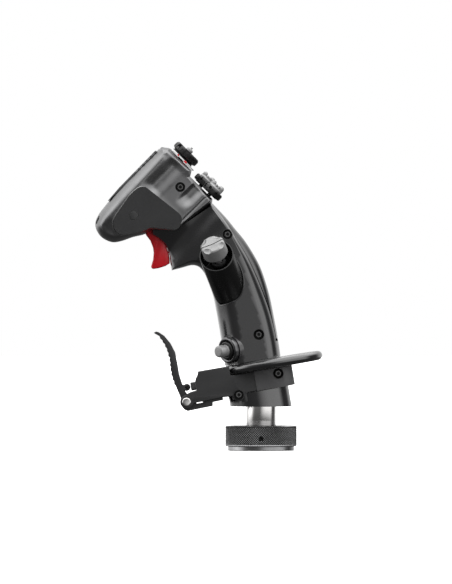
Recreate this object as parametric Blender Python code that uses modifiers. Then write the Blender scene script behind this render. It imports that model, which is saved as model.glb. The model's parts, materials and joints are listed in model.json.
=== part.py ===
"""Flight joystick grip: stick, trigger head, hats, finger lever and quick-release coupling.

The stick stands upright on the coupling. +Z is up, the pilot sits towards +X, the trigger faces -X
and the left side of the grip faces -Y. The origin is the centre of the connector plug's end face.
"""

import math

import bmesh
import bpy
from mathutils import Matrix, Vector

# ---- Driving dimensions, in millimetres -------------------------------------------------------
GAP = 0.3  # between touching pieces
CLEAR = 0.3  # all round a shaft in its hole

RING_RADIUS = 25.1
RING_LIP_RADIUS = 23.1
RING_LIP_TOP = 3.0
RING_TOP = 17.4
RING_WEB = 3.0
COUPLING_THREAD_RADIUS = 18.0  # M36 x 2
SET_SCREW_HEIGHT = 8.5

POST_RADIUS = 10.35
POST_BORE = 7.0
POST_TOP = 39.6
PLUG_RADIUS = 14.7
PLUG_FLANGE_LOW = 9.6

COLLAR_BOTTOM = 30.9
COLLAR_RADIUS = 21.3
SEAM_HEIGHT = 11.0  # collar to housing, along the tilted base axis
BASE_TILT = math.radians(9.6)
HOUSING_TOP = 24.9
HOUSING_HALF_WIDTH = 19.3
CORE_RADIUS = 9.5
CORE_BORE = 6.0
CORE_TOP = 43.0

REST_CENTRE = 13.4
REST_RADIUS = 34.85
REST_HEIGHT = 28.5
REST_RIM = 3.2
REST_TOP = 32.0

PLATE_INNER = 17.5
PLATE_OUTER = 19.5
LEVER_PIVOT = (-50.7, 11.9)  # along and up the tilted base
ROLLER = (0.1, 10.0)  # from the lever pivot
ROLLER_RADIUS = 2.5
LEVER_HALF_WIDTH = 9.0
PIN_RADIUS = 1.5

GRIP_HALF_WIDTH = 18.5
HEAD_HALF_WIDTH = 23.0
HEAD_REAR_WIDTH = 21.0
TRIGGER_PIVOT = (-70.5, 157.5)
TRIGGER_HALF_WIDTH = 6.6
TRIGGER_SLOT = 7.2

# The head stands at 45 degrees: "out" is the way the hats point, "up" climbs its sloping front.
HAT_FACE_UPPER = 104.3
HAT_FACE_LOWER = 100.5
TRIM_HAT = (183.85, 0.0)  # up, across
TMS_HAT = (160.9, 10.5)
DMS_HAT = (152.2, -10.5)

SIDE_HAT_RIM = (-31.2, -31.5, 136.6)
SIDE_HAT_AXIS = (-0.272, -0.656, 0.704)
SIDE_HAT_MOUTH = (-0.17, -0.86, 0.48)  # the way the tube's slanted mouth faces
SIDE_TUBE_RADIUS = 12.0
SIDE_TUBE_LENGTH = 36.0

PINKY_SEAT = (-21.2, -13.8, 70.6)
PINKY_AXIS = (-0.731, -0.671, -0.12)
PINKY_BEZEL_RADIUS = 9.25

SCREW_HEAD = 2.8
SCREW_RECESS = 3.7
GRIP_SCREW_UPPER = (-23.5, 151.3)
GRIP_SCREW_LOWER = (-1.6, 81.3)
HOUSING_SCREW = (15.7, 20.9)
PLATE_SCREW = (-13.9, 10.8)
HEAD_SCREW = (90.4, 170.2)
PANEL_PLUG = (53.3, 179.2)
NOSE_SCREW = (-114.1, 11.0, 161.4)
NOSE_SCREW_AXIS = (-0.87, 0.45, 0.2)

MM = 0.001


# ---- Scene ------------------------------------------------------------------------------------
for old in list(bpy.data.objects):
    bpy.data.objects.remove(old, do_unlink=True)

parts = bpy.data.collections.new("flight_joystick")
cutters = bpy.data.collections.new("cutters")
bpy.context.scene.collection.children.link(parts)
bpy.context.scene.collection.children.link(cutters)


# ---- Frames -----------------------------------------------------------------------------------
def base_point(along, up):
    """A point of the tilted base, as world x and z."""
    x = along * math.cos(BASE_TILT) - up * math.sin(BASE_TILT)
    z = COLLAR_BOTTOM + along * math.sin(BASE_TILT) + up * math.cos(BASE_TILT)
    return x, z


def head_point(out, up):
    """A point of the head, as world x and z."""
    return (out - up) / math.sqrt(2), (out + up) / math.sqrt(2)


def head_points(outline):
    return [head_point(*point[:2]) + tuple(point[2:]) for point in outline]


# ---- Shapes -----------------------------------------------------------------------------------
def finish_mesh(name, work, group, location=(0, 0, 0), rotation=(0, 0, 0)):
    bmesh.ops.recalc_face_normals(work, faces=work.faces)
    mesh = bpy.data.meshes.new(name)
    work.to_mesh(mesh)
    work.free()
    mesh.shade_smooth()
    mesh.set_sharp_from_angle(angle=math.radians(35))
    obj = bpy.data.objects.new(name, mesh)
    obj.location = [value * MM for value in location]
    obj.rotation_euler = rotation
    group.objects.link(obj)
    if group is cutters:
        obj.hide_render = True
        obj.display_type = "WIRE"
    return obj


def prism(name, outline, low, high, group, origin=(0, 0), location=None, tilt=0.0):
    """A side outline (x, z) drawn out from y = low to y = high."""
    work = bmesh.new()
    corners = [
        work.verts.new(((x - origin[0]) * MM, low * MM, (z - origin[1]) * MM))
        for x, z in outline
    ]
    face = work.faces.new(corners)
    drawn = bmesh.ops.extrude_face_region(work, geom=[face])["geom"]
    moved = [item for item in drawn if isinstance(item, bmesh.types.BMVert)]
    bmesh.ops.translate(work, verts=moved, vec=(0, (high - low) * MM, 0))
    place = location or (origin[0], 0, origin[1])
    return finish_mesh(name, work, group, place, (0, tilt, 0))


def base_prism(name, outline, low, high, group, origin=(0, 0)):
    """A prism drawn in the tilted base, about a chosen point of it."""
    x, z = base_point(*origin)
    return prism(name, outline, low, high, group, origin, (x, 0, z), -BASE_TILT)


def slab(name, plan, low, high, group):
    """A plan (along, across) drawn out up the tilted base."""
    work = bmesh.new()
    face = work.faces.new([work.verts.new((x * MM, y * MM, low * MM)) for x, y in plan])
    drawn = bmesh.ops.extrude_face_region(work, geom=[face])["geom"]
    moved = [item for item in drawn if isinstance(item, bmesh.types.BMVert)]
    bmesh.ops.translate(work, verts=moved, vec=(0, 0, (high - low) * MM))
    return finish_mesh(name, work, group, (0, 0, COLLAR_BOTTOM), (0, -BASE_TILT, 0))


def box(name, low, high, group, location=(0, 0, 0), tilt=0.0):
    """A box between two corners of its own frame."""
    size = [(b - a) * MM for a, b in zip(low, high)]
    centre = [(a + b) / 2 * MM for a, b in zip(low, high)]
    work = bmesh.new()
    bmesh.ops.create_cube(work, size=1.0, matrix=Matrix.Diagonal((*size, 1.0)))
    bmesh.ops.translate(work, verts=work.verts, vec=centre)
    return finish_mesh(name, work, group, location, (0, tilt, 0))


def base_box(name, low, high, group):
    return box(name, low, high, group, (0, 0, COLLAR_BOTTOM), -BASE_TILT)


def turn_to(obj, axis):
    obj.rotation_mode = "QUATERNION"
    obj.rotation_quaternion = Vector(axis).to_track_quat("Z", "Y")
    return obj


def cylinder(name, radius, low, high, group, location=(0, 0, 0), axis=(0, 0, 1), sides=32):
    """A cylinder along its own Z axis from low to high."""
    work = bmesh.new()
    bmesh.ops.create_cone(
        work,
        cap_ends=True,
        segments=sides,
        radius1=radius * MM,
        radius2=radius * MM,
        depth=(high - low) * MM,
    )
    bmesh.ops.translate(work, verts=work.verts, vec=(0, 0, (low + high) / 2 * MM))
    return turn_to(finish_mesh(name, work, group, location), axis)


def lathe(name, profile, group, location=(0, 0, 0), axis=(0, 0, 1), steps=32):
    """A turned solid. The profile (radius, height) runs down its outer side."""
    mesh = bpy.data.meshes.new(name)
    points = [(radius * MM, 0.0, height * MM) for radius, height in profile]
    edges = [(i, i + 1) for i in range(len(points) - 1)]
    if profile[0][0] > 0:
        edges.append((len(points) - 1, 0))
    mesh.from_pydata(points, edges, [])
    obj = bpy.data.objects.new(name, mesh)
    obj.location = [value * MM for value in location]
    group.objects.link(obj)
    turn = obj.modifiers.new("turn", "SCREW")
    turn.steps = steps
    turn.render_steps = steps
    turn.use_merge_vertices = True
    turn.merge_threshold = 1e-6
    turn.use_smooth_shade = True
    if group is cutters:
        obj.hide_render = True
        obj.display_type = "WIRE"
    return turn_to(obj, axis)


def apart(name, shapes, group=cutters):
    """Several shapes that don't meet, held as one helper object."""
    bpy.context.view_layer.update()
    work = bmesh.new()
    for shape in shapes:
        copy = shape.data.copy()
        copy.transform(shape.matrix_world)
        work.from_mesh(copy)
        bpy.data.meshes.remove(copy)
        bpy.data.objects.remove(shape, do_unlink=True)
    return finish_mesh(name, work, group)


def combine(obj, other, operation):
    change = obj.modifiers.new(other.name[:40], "BOOLEAN")
    change.solver = "EXACT"
    change.operation = operation
    change.object = other


def cut(obj, *others):
    for other in others:
        combine(obj, other, "DIFFERENCE")


def join(obj, *others):
    for other in others:
        combine(obj, other, "UNION")


def soften(obj, width, segments=2, angle=35):
    bevel = obj.modifiers.new("soften", "BEVEL")
    bevel.width = width * MM
    bevel.segments = segments
    bevel.limit_method = "ANGLE"
    bevel.angle_limit = math.radians(angle)
    bevel.use_clamp_overlap = True


def inward(outline, index):
    """The way a corner of a clockwise outline moves as the outline shrinks, at unit inset."""
    corner = outline[index]
    before = outline[index - 1]
    after = outline[(index + 1) % len(outline)]
    slide = corner[4] if len(corner) > 4 else 0
    if slide:
        goal = after if slide > 0 else before
        return (Vector(goal[:2]) - Vector(corner[:2])).normalized()
    first = (Vector(corner[:2]) - Vector(before[:2])).normalized()
    second = (Vector(after[:2]) - Vector(corner[:2])).normalized()
    normal = Vector((first.y + second.y, -first.x - second.x)).normalized()
    return normal / max(0.6, normal.dot(Vector((first.y, -first.x))))


def half_shell(name, outline, levels, side, group, start=GAP / 2):
    """Half a rounded body, lofted sideways from the middle plane.

    Each corner is (x, z, softness, half width) and, at a flat end, +1 or -1 to slide towards the next
    or the last corner. Each level is (share of the half width, inset).
    """
    work = bmesh.new()
    rings = []
    for share, inset in levels:
        ring = []
        for index, corner in enumerate(outline):
            x, z, softness, width = corner[:4]
            move = inward(outline, index) * inset * softness
            y = side * (start + share * (width - start))
            ring.append(work.verts.new(((x + move.x) * MM, y * MM, (z + move.y) * MM)))
        rings.append(ring)
    for inner, outer in zip(rings, rings[1:]):
        for index in range(len(outline)):
            after = (index + 1) % len(outline)
            work.faces.new((inner[index], inner[after], outer[after], outer[index]))
    work.faces.new(rings[0])
    work.faces.new(rings[-1])
    bmesh.ops.triangulate(work, faces=work.faces)
    return finish_mesh(name, work, group)


def paint(obj, colour, roughness, metallic=0.0):
    material = bpy.data.materials.new(obj.name)
    material.use_nodes = True
    shader = material.node_tree.nodes["Principled BSDF"]
    shader.inputs["Base Color"].default_value = (*colour, 1.0)
    shader.inputs["Roughness"].default_value = roughness
    shader.inputs["Metallic"].default_value = metallic
    material.diffuse_color = (*colour, 1.0)
    obj.data.materials.clear()
    obj.data.materials.append(material)
    return obj


BLACK = ((0.012, 0.012, 0.013), 0.28)
MATTE = ((0.030, 0.030, 0.031), 0.55)
HEAD_GREY = ((0.17, 0.17, 0.175), 0.36, 0.9)
KNURL_GREY = ((0.045, 0.045, 0.047), 0.45, 0.6)
STEEL = ((0.62, 0.61, 0.60), 0.22, 1.0)
SILVER = ((0.36, 0.36, 0.36), 0.40)
SCREW_BLACK = ((0.010, 0.010, 0.010), 0.35, 0.5)
RED = ((0.60, 0.022, 0.035), 0.36)
BOARD_GREEN = ((0.02, 0.12, 0.05), 0.5)
BRASS = ((0.70, 0.50, 0.20), 0.3, 1.0)


# ---- Coupling ---------------------------------------------------------------------------------
def coupling():
    bore = COUPLING_THREAD_RADIUS
    ring = lathe(
        "locking_ring",
        [
            (POST_RADIUS + 0.65, RING_TOP),
            (RING_RADIUS - 0.6, RING_TOP),
            (RING_RADIUS, RING_TOP - 0.6),
            (RING_RADIUS, RING_LIP_TOP + 0.6),
            (RING_RADIUS - 0.5, RING_LIP_TOP),
            (RING_LIP_RADIUS, RING_LIP_TOP),
            (RING_LIP_RADIUS, 0.4),
            (RING_LIP_RADIUS - 0.4, 0.0),
            (bore + 0.6, 0.0),
            (bore, 0.6),
            (bore, RING_TOP - RING_WEB),
            (POST_RADIUS + 0.65, RING_TOP - RING_WEB),
        ],
        parts,
        steps=40,
    )
    hole = cylinder(
        "set_screw_hole", 1.65, -2, 9, cutters, (0, -RING_RADIUS, SET_SCREW_HEIGHT), (0, 1, 0), 16
    )
    cut(ring, hole)
    paint(ring, *KNURL_GREY)

    screw = lathe(
        "ring_set_screw",
        [(0, -1.4), (0.7, -1.4), (0.7, 0), (1.3, 0), (1.3, -5.6), (0, -5.6)],
        parts,
        (0, -RING_RADIUS + 0.9, SET_SCREW_HEIGHT),
        (0, -1, 0),
        16,
    )
    paint(screw, *SCREW_BLACK)

    plug_top = RING_TOP - RING_WEB - 2 * GAP
    plug = lathe(
        "connector_plug",
        [
            (0, plug_top),
            (bore - 0.6, plug_top),
            (bore - 0.6, PLUG_FLANGE_LOW),
            (PLUG_RADIUS, PLUG_FLANGE_LOW),
            (PLUG_RADIUS, 0.5),
            (PLUG_RADIUS - 0.5, 0.0),
            (10.2, 0.0),
            (10.2, 5.0),
            (6.4, 5.0),
            (6.4, 0.0),
            (0, 0.0),
        ],
        parts,
        steps=24,
    )
    paint(plug, *MATTE)

    insert = lathe("contact_insert", [(6.7, 4.7), (9.9, 4.7), (9.9, 3.6), (6.7, 3.6)], parts, steps=20)
    pins = []
    for number in range(5):
        angle = math.radians(18 + 72 * number)
        place = (8.3 * math.cos(angle), 8.3 * math.sin(angle), 0)
        pins.append(cylinder("pin", 0.55, 0.9, 4.2, cutters, place, sides=8))
    join(insert, apart("contact_pins", pins))
    paint(insert, *BRASS)

    post = lathe(
        "connector_post",
        [
            (POST_BORE, POST_TOP),
            (POST_RADIUS - 0.4, POST_TOP),
            (POST_RADIUS, POST_TOP - 0.4),
            (POST_RADIUS, plug_top + GAP),
            (POST_BORE, plug_top + GAP),
        ],
        parts,
    )
    paint(post, *STEEL)


# ---- Base -------------------------------------------------------------------------------------
def base_screw_hole(name, place, side, recess_from, bore_to):
    """A recess for the head, and a smaller hole for the shank, in from one side of the base."""
    x, z = base_point(*place)
    shapes = []
    if recess_from is not None:
        shapes.append(
            cylinder(name + "_recess", SCREW_RECESS, recess_from, 30, cutters, (x, 0, z), (0, side, 0), 24)
        )
    shapes.append(
        cylinder(name + "_bore", PIN_RADIUS + CLEAR, bore_to, 30, cutters, (x, 0, z), (0, side, 0), 16)
    )
    return shapes


def screw(name, location, axis, length, head=SCREW_HEAD, head_height=2.4, shank=PIN_RADIUS):
    """A socket screw, its head's top face at the location."""
    obj = lathe(
        name,
        [
            (0, -1.3),
            (head * 0.48, -1.3),
            (head * 0.48, 0),
            (head - 0.4, 0),
            (head, -0.4),
            (head, -head_height),
            (shank, -head_height),
            (shank, -length),
            (0, -length),
        ],
        parts,
        location,
        axis,
        12,
    )
    return paint(obj, *SCREW_BLACK)


def base():
    collar = cylinder("base_collar", COLLAR_RADIUS, -6, SEAM_HEIGHT, parts, (0, 0, COLLAR_BOTTOM), sides=48)
    collar.rotation_mode = "XYZ"
    collar.rotation_euler = (0, -BASE_TILT, 0)
    lug = base_box("collar_lug", (-18.6, -17.2, 8), (-10.2, 17.2, 15), cutters)
    join(collar, lug)
    cut(collar, box("below_collar", (-40, -40, 0), (40, 40, COLLAR_BOTTOM), cutters))
    cut(collar, cylinder("post_hole", POST_RADIUS + CLEAR, 20, 60, cutters))
    flats = [
        base_box("flat", (-25, low, 5.2), (-8.4, high, 16), cutters)
        for low, high in ((-24, -17.2), (17.2, 24))
    ]
    cut(collar, apart("collar_flats", flats))
    paint(collar, *BLACK)

    flat = HOUSING_HALF_WIDTH
    corner = 10.0
    plan = [(-19.6, -13.5), (-16.2, -17.2), (-1.0, -17.2), (-1.0, -flat)]
    for step in range(7):
        angle = math.radians(-90 + 15 * step)
        plan.append((16 + corner * math.cos(angle), corner - flat + corner * math.sin(angle)))
    plan += [(x, -y) for x, y in reversed(plan)]
    housing = slab("base_housing", plan, SEAM_HEIGHT + GAP, HOUSING_TOP, parts)
    x, z = base_point(0, SEAM_HEIGHT)
    axis = (-math.sin(BASE_TILT), 0, math.cos(BASE_TILT))
    cut(housing, cylinder("core_hole", CORE_RADIUS + CLEAR, 2.2, 60, cutters, (x, 0, z), axis))
    cut(housing, cylinder("loom_hole", CORE_BORE + 0.5, -5, 10, cutters, (x, 0, z), axis))
    cut(housing, base_box("lug_notch", (-30, -30, 5), (-9.0, 30, 15.3), cutters))
    paint(housing, *MATTE)

    for side, hand in ((-1, "left"), (1, "right")):
        cut(housing, *base_screw_hole("housing_screw_hole_" + hand, HOUSING_SCREW, side, 15.6, 8))
        cut(collar, *base_screw_hole("plate_screw_hole_" + hand, PLATE_SCREW, side, None, 10.5))
        x, z = base_point(*HOUSING_SCREW)
        screw("housing_screw_" + hand, (x, side * 18.4, z), (0, side, 0), 10.0)
        x, z = base_point(*PLATE_SCREW)
        screw("plate_screw_" + hand, (x, side * 22.0, z), (0, side, 0), 11.0, 3.4, 2.2)

    core = lathe(
        "mounting_core",
        [
            (CORE_BORE, CORE_TOP),
            (CORE_RADIUS, CORE_TOP),
            (CORE_RADIUS, SEAM_HEIGHT + 2.5),
            (CORE_BORE, SEAM_HEIGHT + 2.5),
        ],
        parts,
        (0, 0, COLLAR_BOTTOM),
        axis,
    )
    paint(core, *MATTE)

    rim = []
    for step in range(7):
        angle = math.radians(90 - 30 * step)
        rim.append((REST_RADIUS - REST_RIM + REST_RIM * math.cos(angle), REST_RIM * math.sin(angle)))
    inner = REST_RADIUS - 2 * REST_RIM
    upper = [(0, 1.3), (inner - 1.5, 1.3), (inner + 0.5, 2.0)]
    lower = [(inner + 0.5, -2.0), (inner - 1.5, -1.3), (0, -1.3)]
    x, z = base_point(REST_CENTRE, REST_HEIGHT)
    rest = lathe("hand_rest", upper + rim + lower, parts, (x, 0, z), axis, 36)
    place = (0, 0, COLLAR_BOTTOM)
    join(rest, cylinder("rest_hub", 19.8, HOUSING_TOP + GAP, REST_TOP, cutters, place, axis))
    cut(rest, cylinder("rest_bore", CORE_RADIUS + CLEAR, 10, 50, cutters, place, axis))
    paint(rest, *BLACK)


# ---- Finger lever -----------------------------------------------------------------------------
def arc(centre, radius, start, end, steps):
    points = []
    for step in range(steps + 1):
        angle = math.radians(start + (end - start) * step / steps)
        points.append((centre[0] + radius * math.cos(angle), centre[1] + radius * math.sin(angle)))
    return points


def ribbed(edge, count, depth):
    """The edge with small grip teeth standing off its left-hand side."""
    lengths = [math.dist(a, b) for a, b in zip(edge, edge[1:])]
    whole = sum(lengths)
    points = []
    for number in range(count * 2 + 1):
        goal = whole * number / (count * 2)
        index = 0
        while index < len(lengths) - 1 and goal > lengths[index]:
            goal -= lengths[index]
            index += 1
        start = Vector(edge[index])
        way = (Vector(edge[index + 1]) - start).normalized()
        place = start + way * goal
        side = Vector((-way.y, way.x)) * (depth if number % 2 else 0.0)
        points.append(tuple(place + side))
    return points


def lever():
    pivot = base_point(*LEVER_PIVOT)
    plate_outline = [
        (-39.5, 31.3),
        (-17.3, 31.3),
        (-17.3, HOUSING_TOP),
        (-1.3, HOUSING_TOP),
        (-1.3, SEAM_HEIGHT + 0.6),
        *arc(PLATE_SCREW, 4.6, 5, -175, 8),
        (-25.3, 10.9),
        (-46.0, 10.4),
        *arc(LEVER_PIVOT, 4.6, -46, -262, 9),
        (-46.8, 17.9),
        (-42.6, 18.4),
        (-42.6, 25.0),
        (-41.4, 27.5),
        (-40.5, 28.0),
    ]
    pivot_place = (pivot[0], 0, pivot[1])
    pin_hole = cylinder("pin_hole", PIN_RADIUS + CLEAR, -30, 30, cutters, pivot_place, (0, 1, 0), 20)
    x, z = base_point(*PLATE_SCREW)
    screw_hole = cylinder("plate_hole", PIN_RADIUS + CLEAR, -30, 30, cutters, (x, 0, z), (0, 1, 0), 16)
    for side, hand in ((-1, "left"), (1, "right")):
        low, high = sorted((side * PLATE_INNER, side * PLATE_OUTER))
        plate = base_prism("bracket_plate_" + hand, plate_outline, low, high, parts)
        soften(plate, 0.3, 1)
        cut(plate, pin_hole, screw_hole)
        paint(plate, *MATTE)

    core_outline = [
        (-41.2, 12.3),
        (-41.2, 27.3),
        (-39.3, 30.9),
        (-22.4, 30.9),
        (-22.4, 24.7),
        (-20.2, 24.7),
        (-20.2, 12.3),
    ]
    core = base_prism("bracket_core", core_outline, -17.2, 17.2, parts)
    cut(core, base_box("plunger_pocket", (-45, -5.3, 18.6), (-32.8, 5.3, 25.1), cutters))
    mid = LEVER_PIVOT[1] + 9.9
    x, z = base_point(0, mid)
    run = (math.cos(BASE_TILT), 0, math.sin(BASE_TILT))
    cut(core, cylinder("spring_bore", 4.0, -36, -22.6, cutters, (x, 0, z), run, 24))
    cut(core, base_box("sensor_pocket", (-37, -6, 26.3), (-15, 6, 29.0), cutters))
    paint(core, *MATTE)
    board = base_box("lever_sensor_board", (-36, -5.4, 26.8), (-24, 5.4, 28.2), parts)
    paint(board, *BOARD_GREEN)

    cheek = [
        (-55.2, 12.4),
        (-53.8, 15.2),
        (-50.5, 16.4),
        (-47.0, 15.8),
        (-45.5, 12.0),
        (-25.3, 12.0),
        (-25.3, 9.0),
        (-32.7, 8.7),
        (-33.2, 6.1),
        (-51.0, 5.5),
        (-53.2, 7.0),
        (-54.6, 9.4),
    ]
    yoke = base_prism("bracket_yoke", cheek, -17.2, 17.2, parts)
    cut(yoke, base_box("lever_bay", (-60, -11.6, 0), (-44.5, 11.6, 20), cutters))
    cut(yoke, base_box("yoke_bay", (-46, -11.6, 8.8), (-20, 11.6, 20), cutters))
    cut(yoke, base_box("yoke_slot", (-44.2, -20, 9.2), (-39.7, 20, 10.3), cutters))
    cut(yoke, pin_hole)
    paint(yoke, *MATTE)

    right_edge = [
        (-73.6, 83.2),
        (-71.8, 82.8),
        (-67.8, 80.2),
        (-63.3, 74.8),
        (-60.1, 68.5),
        (-58.4, 60.1),
        (-57.3, 53.3),
        (-55.2, 46.6),
        (-52.8, 41.0),
        (-49.6, 36.6),
        (-52.0, 31.6),
        (-55.2, 34.0),
        (-56.6, 38.0),
    ]
    left_edge = [
        (-59.7, 45.3),
        (-62.2, 52.4),
        (-63.1, 58.2),
        (-63.8, 64.5),
        (-65.3, 70.3),
        (-67.6, 75.2),
        (-71.0, 80.0),
    ]
    outline = right_edge + ribbed(left_edge, 11, 0.5) + [(-75.0, 82.3)]
    arm = prism("lever_arm", outline, -LEVER_HALF_WIDTH, LEVER_HALF_WIDTH, parts, pivot)
    centre = (pivot[0] + ROLLER[0], 0, pivot[1] + ROLLER[1])
    across = (0, 1, 0)
    join(arm, cylinder("lever_barrel", 4.0, -11.2, 11.2, cutters, pivot_place, across, 24))
    ear = [
        (-56.5, 45.9),
        (-51.9, 45.9),
        (-50.5, 45.2),
        (-50.1, 44.2),
        (-50.5, 43.1),
        (-51.9, 42.5),
        (-55.5, 42.5),
    ]
    ears = [prism("ear", ear, low, high, cutters) for low, high in ((-8.5, -5.9), (5.9, 8.5))]
    cut(arm, cylinder("roller_room", ROLLER_RADIUS + 0.4, -5.9, 5.9, cutters, centre, across, 20))
    join(arm, apart("roller_ears", ears))
    cut(arm, cylinder("roller_axle_hole", 1.2, -20, 20, cutters, centre, across, 16))
    cut(arm, pin_hole)
    paint(arm, *MATTE)

    half_roller = [(0, 8.8), (0.9, 8.8), (0.9, 5.6), (2.2, 5.6), (2.5, 5.3)]
    roller_profile = half_roller + [(radius, -height) for radius, height in reversed(half_roller)]
    roller = lathe("lever_roller", roller_profile, parts, centre, across, 20)
    paint(roller, *SCREW_BLACK)

    half_pin = [(0, 21.4), (2.5, 21.4), (3.1, 20.9), (3.1, 19.8), (PIN_RADIUS, 19.8)]
    pin_profile = half_pin + [(radius, -height) for radius, height in reversed(half_pin)]
    pin = lathe("lever_pivot_pin", pin_profile, parts, pivot_place, across, 24)
    paint(pin, *STEEL)

    block = [(-46.2, 18.9), (-46.2, 24.7), (-36.5, 24.7), (-36.5, 18.9)]
    plunger = base_prism("lever_plunger", block, -5.0, 5.0, parts, (-36.5, mid))
    soften(plunger, 0.4, 1)
    x, z = base_point(-36.5, mid)
    join(plunger, cylinder("plunger_stem", 1.6, -1, 8.5, cutters, (x, 0, z), run, 16))
    paint(plunger, *HEAD_GREY)

    spring = coil("lever_spring", (x, 0, z), run, 0.4, 13.4, 2.7, 0.42, 6)
    paint(spring, *STEEL)


def coil(name, location, axis, low, high, radius, wire, turns, per_turn=8):
    """A coil spring along its own Z axis."""
    count = turns * per_turn
    curve = bpy.data.curves.new(name, "CURVE")
    curve.dimensions = "3D"
    curve.bevel_depth = wire * MM
    curve.bevel_resolution = 0
    curve.use_fill_caps = True
    line = curve.splines.new("POLY")
    line.points.add(count)
    for index in range(count + 1):
        angle = 2 * math.pi * index / per_turn
        height = low + wire + (high - low - 2 * wire) * index / count
        place = (radius * math.cos(angle) * MM, radius * math.sin(angle) * MM, height * MM)
        line.points[index].co = (*place, 1.0)
    obj = bpy.data.objects.new(name, curve)
    obj.location = [value * MM for value in location]
    parts.objects.link(obj)
    return turn_to(obj, axis)


# ---- Grip -------------------------------------------------------------------------------------
GRIP_LEVELS = [(0, 0), (0.3, 0.8), (0.52, 2.4), (0.72, 5.0), (0.9, 8.6), (1.0, 12.0)]


def grip_front():
    """The front edge of the grip from its foot up to the head, clockwise seen from the left."""
    foot = base_point(-20.3, REST_TOP + GAP)
    wide = GRIP_HALF_WIDTH
    return [
        (*foot, 0.8, wide, -1),
        (-28.2, 79.4, 0.8, wide),
        (-31.4, 97.9, 0.8, wide),
        (-33.8, 109.1, 0.8, wide),
        (-37.9, 120.4, 0.75, wide),
        (-40.6, 125.4, 0.65, wide),
        (-43.8, 128.6, 0.5, wide - 1),
        (-48.5, 129.6, 0.35, wide - 2.5),
        (-55.5, 127.8, 0.2, 14.0),
        (-62.0, 126.0, 0.12, 12.0),
        (-63.1, 131.0, 0.12, 12.0),
        (-64.0, 137.1, 0.12, 12.0),
        (-66.3, 142.9, 0.12, 12.5),
        (-70.3, 147.1, 0.12, 13.0),
        (-76.2, 150.6, 0.1, 13.0),
        (-76.4, 153.3, 0.05, 13.5, 1),
        (-57.3, 153.5, 0.05, 16.0),
        (-53.2, 157.4, 0.05, 17.0),
        (-33.7, 172.3, 0.2, 17.5, -1),
    ]


def grip_back(edge):
    """The back edge down to the foot."""
    foot = base_point(20.2, REST_TOP + GAP)
    softness = [0.22, 0.24, 0.3, 0.45, 0.65, 0.9, 1.05, 1.15]
    wide = GRIP_HALF_WIDTH
    back = [(x, z, soft, wide) for (x, z), soft in zip(edge, softness)]
    return back + [(*foot, 1.15, wide, 1)]


SEAM_EDGE = [
    (-24.9, 161.0),
    (-19.1, 152.4),
    (-14.1, 144.6),
    (-8.4, 135.3),
    (-2.7, 123.8),
    (3.4, 108.7),
    (8.0, 94.7),
    (12.0, 77.0),
]
BACK_EDGE = [
    (-24.6, 163.0),
    (-18.1, 155.0),
    (-11.3, 146.7),
    (-4.1, 135.3),
    (0.6, 125.5),
    (5.6, 109.7),
    (8.8, 94.7),
    (12.0, 77.0),
]


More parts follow.
